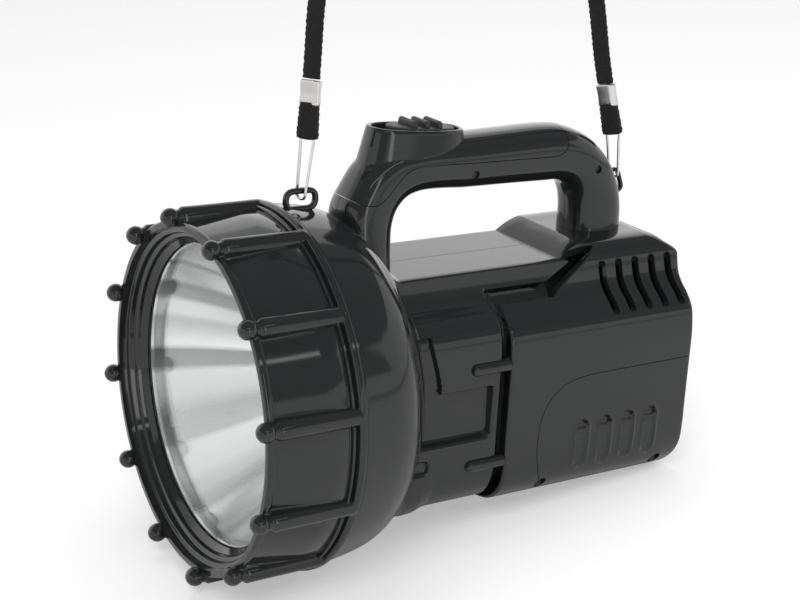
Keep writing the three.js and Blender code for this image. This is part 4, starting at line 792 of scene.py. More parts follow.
bowl_radius = np.linspace(NECK, MOUTH - 1.3, 60)
bowl = np.stack([VERTEX - bowl_radius**2 / (4 * FOCUS), bowl_radius], 1)
slope = bowl_radius / (2 * FOCUS)
reach = BOWL_WALL / np.hypot(1, slope)
bowl_back = np.stack([bowl[:, 0] + reach, bowl_radius + slope * reach], 1)
bowl_back = bowl_back[bowl_back[:, 0] > BOWL_FRONT + 2.2]
bowl_outline = np.vstack([bowl, np.array(BOWL_LIP) + [BOWL_FRONT, MOUTH], bowl_back[::-1],
                          [(NECK_END, NECK + BOWL_WALL), (NECK_END, NECK)]])
finished(raw_object("bright_bowl", [revolved(bowl_outline, 180)]), mirror_coat,
         ["reflector"])

# %% Bulb
BULB_FRONT, BULB_RADIUS = 64, 4.6
bulb_outline = np.vstack([round_nose(BULB_FRONT, BULB_RADIUS),
                          [(80, BULB_RADIUS), (82.5, 4.2), (86, 3.6), (86, 0)]])
finished(raw_object("bulb_glass", [revolved(bulb_outline, 32, False)]), clear_glass,
         ["bulb_capsule"], 50)

COIL_FRONT, COIL_LENGTH, COIL_RADIUS, COIL_TURNS = 70, 7, 1.1, 9
coil_turn = np.linspace(0, COIL_TURNS * 2 * np.pi, 320)
coil = np.stack([COIL_FRONT + coil_turn / (COIL_TURNS * 2 * np.pi) * COIL_LENGTH,
                 COIL_RADIUS * np.sin(coil_turn), COIL_RADIUS * np.cos(coil_turn)], 1)
leads = np.array([(85, 1.6, 0), (76, 1.6, 0), (70, 1.4, 0)])
finished(raw_object("filament", [
    tube(coil, 0.18, 6), tube(along(leads, 1.5), 0.25, 8),
    tube(along(leads * [1, -1, 1], 1.5), 0.25, 8),
]), bulb_metal, sharp=60)

# %% [markdown]
# The head, the body and the rear housing share one idea: a section line round the lamp that is
# carried along it. The section mixes smooth runs and crisp corners, so it is drawn as splines
# between corners and then softened by a small amount, as a mould's polished edges are.

# %% Sections
BODY_WIDTH, LINE_STEP = 48.0, 0.2
# Half width and height, in runs between crisp corners, from the top's middle to the underside's
BODY_LINE = [
    [(0, 51.3), (14, 51.3), (27, 51.3)],
    [(27, 51.3), (28.6, 45), (31.2, 39.6), (37, 36.2), (42.2, 33.2), (46.4, 26.5), (48, 15),
     (48, -10), (48, -35), (46.8, -43.3), (43.2, -50.6), (37, -56.0), (25.9, -58.5), (12, -58.5),
     (0, -58.5)],
]
HOUSING_LINE = [
    [(0, 58), (12, 58), (23, 58), (28.6, 56.4), (32.2, 51.4), (33.7, 45.5), (35.4, 40),
     (38.9, 35.4), (43.5, 31.3), (47.9, 25), (49.7, 15), (50, 5), (50, -15), (50, -36),
     (48.9, -45.3), (45.2, -53), (38.5, -58.6), (30, -61.2), (21, -62), (10, -62), (0, -62)],
]


def section_line(runs, spacing, soften=0.9):
    """The half section as (y, z) points on the user's left: splines, resampled, then each point
    averaged with its neighbours within a few tenths of a millimetre, which rounds the corners."""
    line = np.vstack([along(spline(run, 40 * len(run)), LINE_STEP)[(1 if number else 0):]
                      for number, run in enumerate(runs)])
    line = along(line, LINE_STEP)
    half = int(soften / LINE_STEP * 2)
    kernel = np.exp(-0.5 * (np.arange(-half, half + 1) * LINE_STEP / soften * 1.6) ** 2)
    kernel /= kernel.sum()
    mirrored = np.vstack([line[half:0:-1] * [-1, 1], line, line[-2:-half - 2:-1] * [-1, 1]])
    soft = np.stack([np.convolve(column, kernel, "valid") for column in mirrored.T], 1)
    run = run_along(soft)
    places = stops(*[(run[-1] * a, run[-1] * b, step) for a, b, step in spacing])
    return np.stack([-np.interp(places, run, soft[:, 0]), np.interp(places, run, soft[:, 1])], 1)


def line_normals(line):
    """Outward normals of a half section that runs from the top down on the left: (dz, -dy)."""
    step = np.gradient(line, axis=0)
    step[0, 1] = step[-1, 1] = 0
    return unit(np.stack([step[:, 1], -step[:, 0]], 1))


def box_distance(x, z, x0, x1, z0, z1, corner):
    """Signed distance to a rounded rectangle: |max(|p - c| - h + r, 0)| + min(max(q), 0) - r."""
    qx = np.abs(x - (x0 + x1) / 2) - (x1 - x0) / 2 + corner
    qz = np.abs(z - (z0 + z1) / 2) - (z1 - z0) / 2 + corner
    outside = np.hypot(np.maximum(qx, 0), np.maximum(qz, 0))
    return outside + np.minimum(np.maximum(qx, qz), 0) - corner


body_line = section_line(BODY_LINE, [(0, 0.30, 1.3), (0.30, 0.66, 0.6), (0.66, 1, 1.6)])
print("body section", len(body_line), "points")

# %% [markdown]
# The head grows out of the body. Its dome falls in a steepening curve: at the sides it meets the
# body in a crisp valley, and underneath it runs out in a soft flare. At each place the surface
# takes the larger of two radii, the dome's and the body's, with a smooth maximum:
# max(a, b) + h^2 k / 4, h = 1 - |a - b| / k, where k is small at the sides and large below.

# %% Head
DOME_FRONT, DOME_LENGTH, HEAD_BACK, COLLAR_FRONT = 44.6, 50.4, 102.7, 20.6
THREAD_RADIUS, THREAD_DEPTH, COLLAR_INSIDE, THREAD_PITCH = 74.2, 0.55, 71.5, 4.0
SEAT_EDGE = 0.35
DOME_SHARES = [(0, 1), (0.147, 0.988), (0.306, 0.973), (0.425, 0.956), (0.544, 0.924),
               (0.663, 0.867), (0.782, 0.781), (0.901, 0.674), (1, 0.569)]
DOME_TAIL = [(97, 38), (99, 20)]
LOW_FLARE = [(76, 0), (84, 0.8), (90, 2.2), (96, 1.9), (100, 0.7), (102.7, 0)]
VALLEY_SOFT, LOW_SOFT, DECK_SOFT = 1.6, 12, 4
RECESS_DEPTH, RECESS = 4.2, (60, 133.2, -23.4, 6.4, 5.0)     # x, x, z, z, corner radius
HOLLOW_DEPTH, HOLLOW = 2.0, (60, 99.5, -35.5, -27.5, 3.5)
POCKET_DEPTH, POCKET_REAR = 2.6, 97.6


def smooth_max(a, b, k):
    h = np.maximum(k - np.abs(a - b), 0) / k
    return np.maximum(a, b) + h * h * k / 4


def side_features(x, z):
    """How deep the long recess, the pocket behind the dome and the hollow under them lie in the
    side."""
    recess = RECESS_DEPTH * blend(0.2, 3.6, -box_distance(x, z, *RECESS))
    recess = recess * (1 - blend(2.2, 3.1, z))
    rear = POCKET_REAR + 5.4 * (1 - blend(2, 31, z))
    pocket = (POCKET_DEPTH * (1 - blend(-0.5, 0.6, x - rear)) * blend(0.6, 2.2, z)
              * (1 - blend(29, 33, z)))
    hollow = HOLLOW_DEPTH * blend(0, 1.8, -box_distance(x, z, *HOLLOW))
    return np.maximum(np.maximum(recess, pocket), hollow)


def head_shell():
    """Radius over (x, angle): dome and body section meet in a smooth maximum. The rows of points
    follow the line where the two are equal, so the valley between them stays crisp at the
    sides."""
    ring = np.vstack([body_line, body_line[-2:0:-1] * [-1, 1]])
    reach = np.hypot(ring[:, 0], ring[:, 1])
    direction = ring / reach[:, None]
    turn = np.arctan2(-ring[:, 0], ring[:, 1])
    low = 1 - blend(-50, -34, ring[:, 1])
    dome = spline(np.array(DOME_SHARES) * [DOME_LENGTH, DOME_RADIUS] + [DOME_FRONT, 0], 160)
    dome = np.vstack([dome, DOME_TAIL])
    flare = np.array(LOW_FLARE)
    meeting = np.interp(-reach, -dome[:, 1], dome[:, 0])
    ahead = 1 - (1 - np.linspace(0, 1, 60)[:, None]) ** 1.5
    behind = np.linspace(0, 1, 34)[1:, None] ** 1.2
    front = DOME_FRONT + SEAT_EDGE
    x = np.vstack([front + (meeting - front) * ahead, meeting + (HEAD_BACK - meeting) * behind])
    dome_r = np.interp(x, dome[:, 0], dome[:, 1])
    body_r = reach + low * np.interp(x, flare[:, 0], flare[:, 1])
    depth = side_features(x, ring[:, 1] + 0 * x) * (np.abs(ring[:, 0]) > 45)
    softness = VALLEY_SOFT + LOW_SOFT * low + DECK_SOFT * blend(50, 51, ring[:, 1])
    outer = np.minimum(smooth_max(dome_r, body_r, softness), DOME_RADIUS)
    thread_x = stops((COLLAR_FRONT, DOME_FRONT - 0.2, 0.5))[:, None]
    crest = np.cos(2 * np.pi * (thread_x / THREAD_PITCH - turn / (2 * np.pi)))
    fade = blend(COLLAR_FRONT, COLLAR_FRONT + 2, thread_x)
    fade = fade * (1 - blend(DOME_FRONT - 3, DOME_FRONT - 1, thread_x))
    collar = THREAD_RADIUS - THREAD_DEPTH * fade * blend(-0.4, 0.6, crest)
    lip = np.array([(DOME_FRONT, THREAD_RADIUS), (DOME_FRONT, DOME_RADIUS - SEAT_EDGE)])
    inner = np.array([(HEAD_BACK, 20), (HEAD_BACK - 3.5, 20), (HEAD_BACK - 3.5, 34), (86, 38),
                      (78, 58), (68, 70), (60, 74), (48, 74), (44, COLLAR_INSIDE),
                      (COLLAR_FRONT, COLLAR_INSIDE)])
    whole = np.zeros((1, len(ring)))
    stations = [(thread_x + whole, collar), (lip[:, :1] + whole, lip[:, 1:] + whole), (x, outer),
                (inner[:, :1] + whole, inner[:, 1:] + whole)]
    points = [np.concatenate([at[..., None], radius[..., None] * direction], -1)
              for at, radius in stations]
    across = points[2][..., 1]
    kept = np.minimum(dome_r * np.abs(direction[:, 0]), np.abs(across))
    points[2][..., 1] = np.sign(across) * np.maximum(np.abs(across) - depth, kept)
    return grid_shell(np.concatenate(points), True, True)


finished(raw_object("domed_head", [head_shell()]), gloss_black, ["head_housing"], 50)

# %% [markdown]
# The body is two halves that meet on the deck in a fine line. Each is an open surface that gets a
# wall: the front part, with the end of the recess and a channel that the rear housing's lip
# overhangs, and the neck, whose sides lie in a deep groove under the deck and whose deck runs back
# under the handle to the foot of the ramp.

# %% Body halves
BODY_FRONT, BODY_REAR, HOUSING_FRONT, HOUSING_REAR = 102.7, 139.2, 139.5, 247.5
CHANNEL_FRONT, CHANNEL_DEPTH, JOINT_LINE = 134.8, 2.8, 37.3
GROOVE_TOP, GROOVE_DEPTH, DECK_EDGE = 41.4, 6.0, 51.0
SLANT_FOOT, RAMP_FOOT = 170.5, 179.5
BAR_FRONT, BAR_RADIUS, BAR_HEIGHTS = 118.7, 3, (12, -35)
WALL = 3.0


def neck_edge(z):
    """Where the neck's side drops into the band in front of the rear housing; its deck runs
    further."""
    side = np.interp(z, [JOINT_LINE, 41.6, 49, 51.3], [163, 169, 183.5, 187])
    return np.where(z > DECK_EDGE, RAMP_FOOT + 2, side)


def front_edge(z):
    """The rear housing's front edge leans back with height, up to the top of the ramp."""
    return np.interp(z, [JOINT_LINE, 38.9, 49.5, 57.3, 57.45, 58],
                     [SLANT_FOOT, 172.7, 188.8, 198.6, 192, 192])


def side_bar(height):
    """A round-ended bar that runs back into the channel: a capsule set half into the side."""
    profile = round_nose(BAR_FRONT, BAR_RADIUS) + [(BODY_REAR, BAR_RADIUS), (BODY_REAR, 0)]
    return moved(revolved(profile, 28, False), (0, -(BODY_WIDTH - 0.3), height))


def mirror_across(made):
    """Mirrors a mesh in the lamp's middle plane, y -> -y, and turns its faces outwards again."""
    work = bmesh.new()
    work.from_mesh(made.data)
    for vertex in work.verts:
        vertex.co.y = -vertex.co.y
    bmesh.ops.reverse_faces(work, faces=work.faces)
    work.to_mesh(made.data)
    work.free()


def body_half(label):
    """Points = (x, y, z) with the section's (y, z) moved along its normal by the side's
    features."""
    line = np.minimum(body_line, [-FIT / 2, np.inf])
    normal = line_normals(line)
    x = stops((BODY_FRONT, 134, 0.6), (134, BODY_REAR, 0.3))
    grid_x, grid_z = np.meshgrid(x, line[:, 1], indexing="ij")
    depth = np.where(np.abs(line[:, 0]) > 40, side_features(grid_x, grid_z), 0)
    channel = blend(CHANNEL_FRONT - 0.3, CHANNEL_FRONT + 2.4, grid_x) * CHANNEL_DEPTH
    below = (grid_z < GROOVE_TOP + 0.8) * (1 - blend(GROOVE_TOP - 0.3, GROOVE_TOP + 0.5, grid_z))
    depth = np.maximum(depth, channel * below)
    y, z = (line[:, axis] - normal[:, axis] * depth for axis in range(2))
    front = grid_shell(np.stack([grid_x, np.minimum(y, -FIT / 2), z], -1))
    above = line[:, 1] > JOINT_LINE - 2
    upper, out = line[above], normal[above]
    height = upper[:, 1]
    share = np.linspace(0, 1, 44)[:, None]
    edge, high = neck_edge(height), height > DECK_EDGE
    neck_x = np.vstack([BODY_REAR + share * (edge - BODY_REAR), edge + 0.5,
                        edge + np.where(high, 1, 4),
                        np.where(high, edge + 2, front_edge(height) + 5)])
    groove = 1 - blend(GROOVE_TOP - 0.3, GROOVE_TOP + 0.5, height)
    sink = np.maximum(GROOVE_DEPTH * blend(0, 0.06, share), CHANNEL_DEPTH) * groove
    sink = np.vstack([sink] + [np.where(high, 0, GROOVE_DEPTH)] * 3)
    neck = grid_shell(np.stack([neck_x, upper[:, 0] - out[:, 0] * sink,
                                height - out[:, 1] * sink], -1))
    made = raw_object("body_half_" + label, [front, neck], recalculate=False)
    made = walled(made, WALL, ((BODY_FRONT + BODY_REAR) / 2, 0, 0))
    carved(made, raw_object("bars", [side_bar(height) for height in BAR_HEIGHTS]), "UNION")
    if label == "right":
        mirror_across(made)
    finished(made, gloss_black, ["body_" + label])


body_half("left")
body_half("right")

# %% [markdown]
# The rear housing is a box with a slanted roof and rounded rear edges. Its surface is worked out on
# the left half and mirrored. Its sides begin in a thin round lip over the body's channel, its
# shoulders in a slanted face that is undercut, and its roof in a ramp that climbs from the deck.
# The scoops of the side covers are pressed into it first; then a cover is cut from the same wall,
# so cover and housing are flush, with a fine gap between them.

# %% Rear housing
housing_line = section_line(HOUSING_LINE, [(0, 0.26, 1.5), (0.26, 0.50, 1.3), (0.50, 0.68, 0.62),
                                           (0.68, 1, 1.6)])
LIP_RADIUS, ROOF_EDGE = 1.4, 57.4
RAMP_CLIMB = [0, 0.3, 0.6, 0.86, 0.96]      # share of the way from the ramp's foot to its top
FOLD_X = [0.3, -0.2, -0.6, -0.55, -0.3]     # how the slanted front face folds in and under
FOLD_IN = [5.5, 3.0, 1.2, 0.55, 0.12]
REAR_FILLS = (0.6, 0.2, 0.0)
SCOOPS, SCOOP_LOW, SCOOP_HIGH, SCOOP_HALF = [183.5, 197.3, 211.2, 225.0], -46.0, -21.5, 4.3
RIM_WIDTH, RIM_HEIGHT = 1.1, 0.35
COVER = [(167, -57.2), (163, -50.8), (160, -44.7), (158, -36), (157.6, -28), (158.8, -18),
         (162, -10.4), (166.8, -5.2), (173, -1.6), (181, 0.2), (192, 0.8), (220, 0.95), (262, 1.0)]
COVER_SCREWS, COVER_SCREW_HOLE = [(164.4, -52.5), (234.8, -53.0)], 3.1
COVER_GAP, COVER_DEPTH = 0.36, (27, 60)     # the gap round a cover, and where its cut runs across
VENT_COUNT, VENT_PITCH, VENT_LAST, VENT_DEPTH = 5, 10, 7.5, (30.5, 60)
SIDES = ((-1, "left"), (1, "right"))


def in_box(x, z, x0, x1, z0, z1, corner, soft):
    """1 inside a rounded rectangle and 0 outside, over a soft edge."""
    return 1 - blend(-soft, 0, box_distance(x, z, x0, x1, z0, z1, corner))


def scoop_depth(x, z):
    """Pill-shaped dips with a low rim round them, deeper at their upper ends."""
    depth = np.zeros_like(x)
    wide = SCOOP_HALF + RIM_WIDTH
    for middle in SCOOPS:
        rim = in_box(x, z, middle - wide, middle + wide, SCOOP_LOW - 1.0, SCOOP_HIGH + RIM_WIDTH,
                     wide, 1.2)
        mask = in_box(x, z, middle - SCOOP_HALF, middle + SCOOP_HALF, SCOOP_LOW, SCOOP_HIGH,
                      SCOOP_HALF, 1.5)
        dip = mask * (0.8 + 1.9 * blend(-30, -23.5, z)) - RIM_HEIGHT * (rim - mask)
        depth = np.where(rim > 0, dip, depth)
    return depth


def housing_half(side):
    """The lower part starts at the front lip and the upper part at its slanted front face; both
    end in the same rounded rear edge, x = rear - r + r sin q, the section drawn to its middle by
    r (1 - cos q)."""
    line = housing_line
    normal = line_normals(line)
    rear_round = 1.6 + 14.4 * blend(49, 58.6, line[:, 1]) + 2 * blend(-45, -56, line[:, 1])
    joint = int(np.argmin(np.abs(line[:, 1] - JOINT_LINE)))
    joint_rear = HOUSING_REAR - rear_round[joint]
    ahead = stops((HOUSING_FRONT + LIP_RADIUS, SLANT_FOOT, 1.6))
    behind = stops((SLANT_FOOT, 178, 1.3), (178, 231, 0.62), (231, joint_rear, 1.5))
    share = (behind - SLANT_FOOT) / (joint_rear - SLANT_FOOT)
    quarter = np.linspace(0, np.pi / 2, 7)[1:, None]

    def patch(columns, start, with_lip):
        width, height = line[columns].T
        out_y, out_z = normal[columns].T
        radius = rear_round[columns]
        end = HOUSING_REAR - radius
        x = start + share[:, None] * (end - start)
        inset = np.zeros_like(x)
        if with_lip:
            lip_turn = np.linspace(0, np.pi / 2, 6)[:, None] + 0 * width
            long_x = ahead[1:-1, None] + 0 * width
            x = np.vstack([HOUSING_FRONT + LIP_RADIUS - LIP_RADIUS * np.cos(lip_turn), long_x, x])
            inset = np.vstack([LIP_RADIUS - LIP_RADIUS * np.sin(lip_turn), 0 * long_x, inset])
        drawn_in = np.vstack([0 * x, radius * (1 - np.cos(quarter))])
        x = np.vstack([x, end + radius * np.sin(quarter)])
        inset = np.vstack([inset, np.zeros((len(quarter), len(width)))])
        inset = inset + np.where(np.abs(width) > 44, scoop_depth(x, height + 0 * x), 0)
        kept = 1 - drawn_in / np.hypot(width, height)
        y = width * kept - out_y * inset
        z = height * kept - out_z * inset
        if not with_lip:
            ramp = height > ROOF_EDGE
            climb, fold_x, fold_in = (np.array(v)[:, None] for v in (RAMP_CLIMB, FOLD_X, FOLD_IN))
            low = DECK - 0.2
            rise = climb + 0.12 * np.sin(np.pi * climb)
            first_x = np.where(ramp, RAMP_FOOT + (x[:1] - RAMP_FOOT) * climb, x[:1] + fold_x)
            first_y = np.where(ramp, width * (1 + (1 - climb) / 23), y[:1] - out_y * fold_in)
            first_z = np.where(ramp, low + (z[:1] - low) * rise, z[:1] - out_z * fold_in)
            x, y, z = np.vstack([first_x, x]), np.vstack([first_y, y]), np.vstack([first_z, z])
        y = np.vstack([y] + [y[-1:] * fill for fill in REAR_FILLS])
        z = np.vstack([z] + [z[-1:] * fill for fill in REAR_FILLS])
        x = np.vstack([x] + [x[-1:]] * len(REAR_FILLS))
        return grid_shell(np.stack([x, np.minimum(y, 0) * -side, z], -1)[:, ::-side])

    upper, lower = slice(0, joint + 1), slice(joint, len(line))
    return [patch(upper, front_edge(line[upper, 1]), False),
            patch(lower, np.full(len(line) - joint, SLANT_FOOT), True)]


shell_base = raw_object("housing_base", housing_half(-1) + housing_half(1), recalculate=False)
shell_base = walled(shell_base, WALL, ((HOUSING_FRONT + HOUSING_REAR) / 2, 0, 0))
print("housing shell", len(shell_base.data.polygons), "faces")


def across_span(side, near, far):
    """From and to y on one side of the lamp, in rising order."""
    return sorted((side * near, side * far))


def cover_window(side, grow):
    """A block with the cover's edge in side view, moved outwards by half of the gap."""
    edge = beside(spline(COVER, 60), grow)
    low = COVER[0][1] - grow
    outline = np.vstack([[(edge[0, 0], low)], edge[1:], [(COVER[-1][0], low)]])
    return prism("window", outline, *across_span(side, *COVER_DEPTH))


def pin(x, y, z, radius, length, side):
    """A short cylinder across the lamp, for a screw hole."""
    profile = np.array([(0, 0), (0, radius), (length, radius), (length, 0)])
    points, quads = revolved(profile, 28, False)
    points = np.stack([points[:, 1], points[:, 0] * side, points[:, 2]], 1)
    return moved((points, quads), (x, y, z))


def vent_cutter():
    """Ten slots with round ends, upright, through the neck's wall and the shoulder of both
    sides."""
    shells = []
    for number in range(VENT_COUNT):
        middle = HOUSING_REAR - VENT_LAST - VENT_PITCH * (VENT_COUNT - 1 - number)
        outline = rounded([(middle - 0.8, 27.4), (middle + 3.4, 27.4), (middle + 2.1, 49.9),
                           (middle - 2.1, 49.9)], 1.9, 5)
        for side, _ in SIDES:
            ends = across_span(side, *VENT_DEPTH)
            shells.append(closed_tube(np.array([at_width(outline, y) for y in ends])))
    return raw_object("vent_cutter", shells)


screw_holes = raw_object("screw_holes", [
    pin(x, side * 36, z, COVER_SCREW_HOLE, 16, side) for side, _ in SIDES for x, z in COVER_SCREWS
])
for side, label in SIDES:
    cover = copied(shell_base, "battery_cover_" + label)
    carved(cover, cover_window(side, -COVER_GAP / 2), "INTERSECT")
    carved(cover, screw_holes, keep_tool=True)
    finished(cover, gloss_black, ["side_cover_" + label])
housing = copied(shell_base, "rear_housing_shell")
for side, _ in SIDES:
    carved(housing, cover_window(side, COVER_GAP / 2))
carved(housing, screw_holes)
carved(housing, vent_cutter())
bpy.data.objects.remove(shell_base)
finished(housing, gloss_black, ["rear_housing"])

# %% [markdown]
# The handle is an arch whose section is a soft rectangle. At each place along it an outer and an
# inner edge are known from the side, and half a width; the section spans them. A cover closes its
# top: it is cut from the same arch along a curved seam, and carries the turret of the switch.

# %% Handle
HANDLE_STATIONS = [  # outer edge along and up, inner edge along and up, half width, as shares
    (0.000, 0.080, 0.156, -0.022, 1.321), (0.001, 0.317, 0.157, 0.170, 1.164),
    (0.007, 0.495, 0.161, 0.330, 1.071), (0.031, 0.631, 0.176, 0.452, 1.021),
    (0.071, 0.797, 0.207, 0.535, 1.000), (0.133, 0.927, 0.248, 0.566, 1.000),
    (0.219, 0.971, 0.292, 0.571, 1.000), (0.306, 0.978, 0.346, 0.565, 1.000),
    (0.398, 0.981, 0.398, 0.556, 1.000), (0.546, 0.992, 0.546, 0.551, 1.000),
    (0.676, 1.000, 0.670, 0.544, 1.000), (0.744, 0.983, 0.716, 0.542, 1.000),
    (0.815, 0.915, 0.750, 0.520, 1.000), (0.870, 0.812, 0.773, 0.469, 0.986),
    (0.918, 0.673, 0.787, 0.393, 0.971), (0.954, 0.503, 0.793, 0.305, 0.957),
    (0.973, 0.317, 0.795, 0.215, 0.971), (0.977, 0.131, 0.795, 0.122, 1.0),
    (0.977, 0.029, 0.793, 0.029, 1.06),
]
SEAM = [
    (-0.040, 0.664), (-0.003, 0.614), (0.022, 0.564), (0.052, 0.537), (0.086, 0.541),
    (0.114, 0.588), (0.142, 0.673), (0.170, 0.751), (0.201, 0.792), (0.244, 0.803), (0.386, 0.793),
    (0.528, 0.788), (0.664, 0.783), (0.701, 0.797), (0.721, 0.842), (0.727, 0.910), (0.722, 1.029),
]
HANDLE_SCALE = np.array([HANDLE_LENGTH, HANDLE_HEIGHT])
HANDLE_START = np.array([HANDLE_FRONT, DECK])
HANDLE_HALF, SQUARENESS, SEAM_GAP, SPLIT_GAP = 14.0, 2.45, 0.34, 0.3
GRIP_SCREWS, GRIP_SCREW_HOLE = [(137.9, 92.3), (208.9, 88.9)], 2.0


def handle_arch():
    """Section = middle + reach * c(a), across by half * s(a), where (c, s) is a superellipse."""
    table = spline(HANDLE_STATIONS, 190)
    outer = table[:, :2] * HANDLE_SCALE + HANDLE_START
    inner = table[:, 2:4] * HANDLE_SCALE + HANDLE_START
    middle, reach = (outer + inner) / 2, (outer - inner) / 2
    angle = full_turn(72)
    up, across = (bent(turned(angle), 2 / SQUARENESS) for turned in (np.cos, np.sin))
    x = middle[:, :1] + reach[:, :1] * up
    z = middle[:, 1:] + reach[:, 1:] * up
    y = table[:, 4:] * HANDLE_HALF * across
    return raw_object("arch", [closed_tube(np.stack([x, y, z], -1))])


def above_seam(grow):
    """A block of all that lies above the seam, in side view, grown by half of the gap."""
    seam = beside(spline(SEAM, 160) * HANDLE_SCALE + HANDLE_START, -grow)
    outline = np.vstack([seam, [(seam[-1, 0], 190), (seam[0, 0], 190)]])
    return prism("above", outline, -60, 60)


# %% Switch turret
TURRET = TURRET_FRONT, TURRET_LENGTH, TURRET_HALF = 88.4, 48.0, 11.5
TURRET_FRONT_HEIGHT, TURRET_REAR_HEIGHT, TURRET_BASE, WELL_FLOOR = 115.6, 112.2, 98.0, 107.5
TURRET_WALL, TURRET_ROUNDNESS, TURRET_FLARE, RIM_ROUND = 2.0, 2.5, 2.2, 0.6


def oval_ring(size, inset, height, push=0.0, sides=96):
    """A soft oval, drawn in all round, at a height that may depend on x: centre + half length *
    c(a), half width * s(a). A push moves its front half forward."""
    front, length, half = size
    angle = full_turn(sides)
    c, s = (bent(turned(angle), 2 / TURRET_ROUNDNESS) for turned in (np.cos, np.sin))
    x = front + length / 2 + (length / 2 - inset) * c - push * np.maximum(-c, 0)
    return np.stack([x, (half - inset) * s, height(x) + 0 * x], 1)


def rim_height(x):
    slope = (TURRET_REAR_HEIGHT - TURRET_FRONT_HEIGHT) / TURRET_LENGTH
    return TURRET_FRONT_HEIGHT + slope * (x - TURRET_FRONT)


def turret():
    """Rings from the flared foot up to the rim, over it, and down into the well to its floor."""
    rings = []
    for share in np.linspace(0, 0.95, 16):
        flare = TURRET_FLARE * (1 - share)
        climb = lambda x, t=share: TURRET_BASE + (rim_height(x) - TURRET_BASE) * t
        rings.append(oval_ring(TURRET, -flare, climb, flare))
    for turn in np.linspace(0, np.pi, 9):
        crest = lambda x, t=turn: rim_height(x) - RIM_ROUND + RIM_ROUND * math.sin(t)
        rings.append(oval_ring(TURRET, TURRET_WALL / 2 * (1 - math.cos(turn)), crest))
    rings.append(oval_ring(TURRET, TURRET_WALL, lambda x: WELL_FLOOR + 0.4))
    rings.append(oval_ring(TURRET, TURRET_WALL + 0.4, lambda x: WELL_FLOOR))
    return raw_object("turret", [closed_tube(np.array(rings))])


grip = handle_arch()
top_cover = carved(copied(grip, "handle_cover"), above_seam(-SEAM_GAP / 2), "INTERSECT")
carved(top_cover, turret(), "UNION")
carved(grip, above_seam(SEAM_GAP / 2))
carved(grip, raw_object("grip_holes", [pin(x, -5, z, GRIP_SCREW_HOLE, 30, -1)
                                       for x, z in GRIP_SCREWS]))
for side, label in SIDES:
    region = prism("half", [(0, -100), (400, -100), (400, 300), (0, 300)],
                   *across_span(side, SPLIT_GAP / 2, 90))
    half = carved(copied(grip, "handle_half_" + label), region, "INTERSECT")
    finished(half, gloss_black, ["handle_" + label])
bpy.data.objects.remove(grip)
finished(top_cover, gloss_black, ["handle_top_cover"])

# %% [markdown]
# The knob slides in the turret's well. It has three rounded cross ribs for the thumb, which stand
# above the rim. Its finish is duller than the body's.

# %% Knob
KNOB = KNOB_FRONT, KNOB_LENGTH, _ = 98.0, 34.0, TURRET_HALF - 2.2 - 0.6
KNOB_TOP, KNOB_SIDES, RIB_END, RIB_RUN = 0.5, 80, 0.86, 0.14
KNOB_RIB_PITCH, KNOB_RIB_HALF, KNOB_RIB_HEIGHT, KNOB_RIB_FOOT = 6.6, 6.6, 3.0, 110


def knob():
    """The plate with its rounded edge, and three ribs that run out in a quarter ellipse."""
    rings = [oval_ring(KNOB, 0, lambda x: WELL_FLOOR + FIT, sides=KNOB_SIDES)]
    for turn in np.linspace(0, np.pi / 2, 6):
        edge = lambda x, t=turn: rim_height(x) - KNOB_TOP + math.sin(t)
        rings.append(oval_ring(KNOB, 1.0 - 1.0 * math.cos(turn), edge, sides=KNOB_SIDES))
    shells = [closed_tube(np.array(rings))]
    ends = np.linspace(RIB_END, 1, 6)
    for number in (-1, 0, 1):
        middle = KNOB_FRONT + KNOB_LENGTH / 2 + KNOB_RIB_PITCH * number
        top = rim_height(middle) + KNOB_TOP + KNOB_RIB_HEIGHT
        outline = rounded([(middle - 1.3, KNOB_RIB_FOOT), (middle - 1.15, top),
                           (middle + 1.15, top), (middle + 1.3, KNOB_RIB_FOOT)],
                          [0.1, 1.1, 1.1, 0.1], 6)
        rows = []
        for share in np.concatenate([-ends[::-1], np.linspace(-0.6, 0.6, 4), ends]):
            past = max(0, (abs(share) - RIB_END) / RIB_RUN)
            fall = 1.4 * (1 - math.sqrt(max(0, 1 - past**2)))
            row = at_width(outline, share * KNOB_RIB_HALF)
            row[:, 2] = KNOB_RIB_FOOT + (row[:, 2] - KNOB_RIB_FOOT) * (1 - fall / 4.5)
            rows.append(row)
        shells.append(closed_tube(np.array(rows)))
    return raw_object("switch_slider", shells)


finished(knob(), soft_black, ["switch_knob"], 50, "knob")

# %% [markdown]
# What hides inside keeps its CAD shape, and so do the screws deep in their holes; each gets a
# finish.

# %% Carried-over nodes
CARRIED = {
    "bulb_base": bulb_metal, "bulb_holder": ceramic, "slide_switch": soft_black,
    "battery_pack": battery_case,
    **{"handle_screw_%d" % number: dark_steel for number in (1, 2)},
    **{"cover_screw_%s_%d" % (label, number): dark_steel
       for label in ("left", "right") for number in (1, 2)},
}
for node, finish in CARRIED.items():
    for material_slot in frame["nodes"][node].material_slots:
        material_slot.material = finish
print("carried over:", len(CARRIED))

# %% [markdown]
# A plain white studio. Black gloss shows what stands round it, so the reflections are set apart
# from the light: soft lamps light the floor and the shadow but stay out of the gloss, apart from
# one narrow strip, and dim cards that nothing but the gloss sees draw its pale bands. The floor is
# whitened for the camera alone, as a photograph's background is.

# %% Studio
FLOOR_COLOR, FLOOR_SEEN, FLOOR_GLOW = (0.86, 0.86, 0.86, 1), (0.98, 0.98, 0.98, 1), 0.4
WORLD_LIGHT, WORLD_SEEN = 0.55, 1.0


def stage_card(name, corners):
    """A flat quad in the scene, not attached to any of the object's bodies."""
    mesh = bpy.data.meshes.new(name)
    mesh.from_pydata(corners, [], [(0, 1, 2, 3)])
    card = linked(name, mesh)
    return card


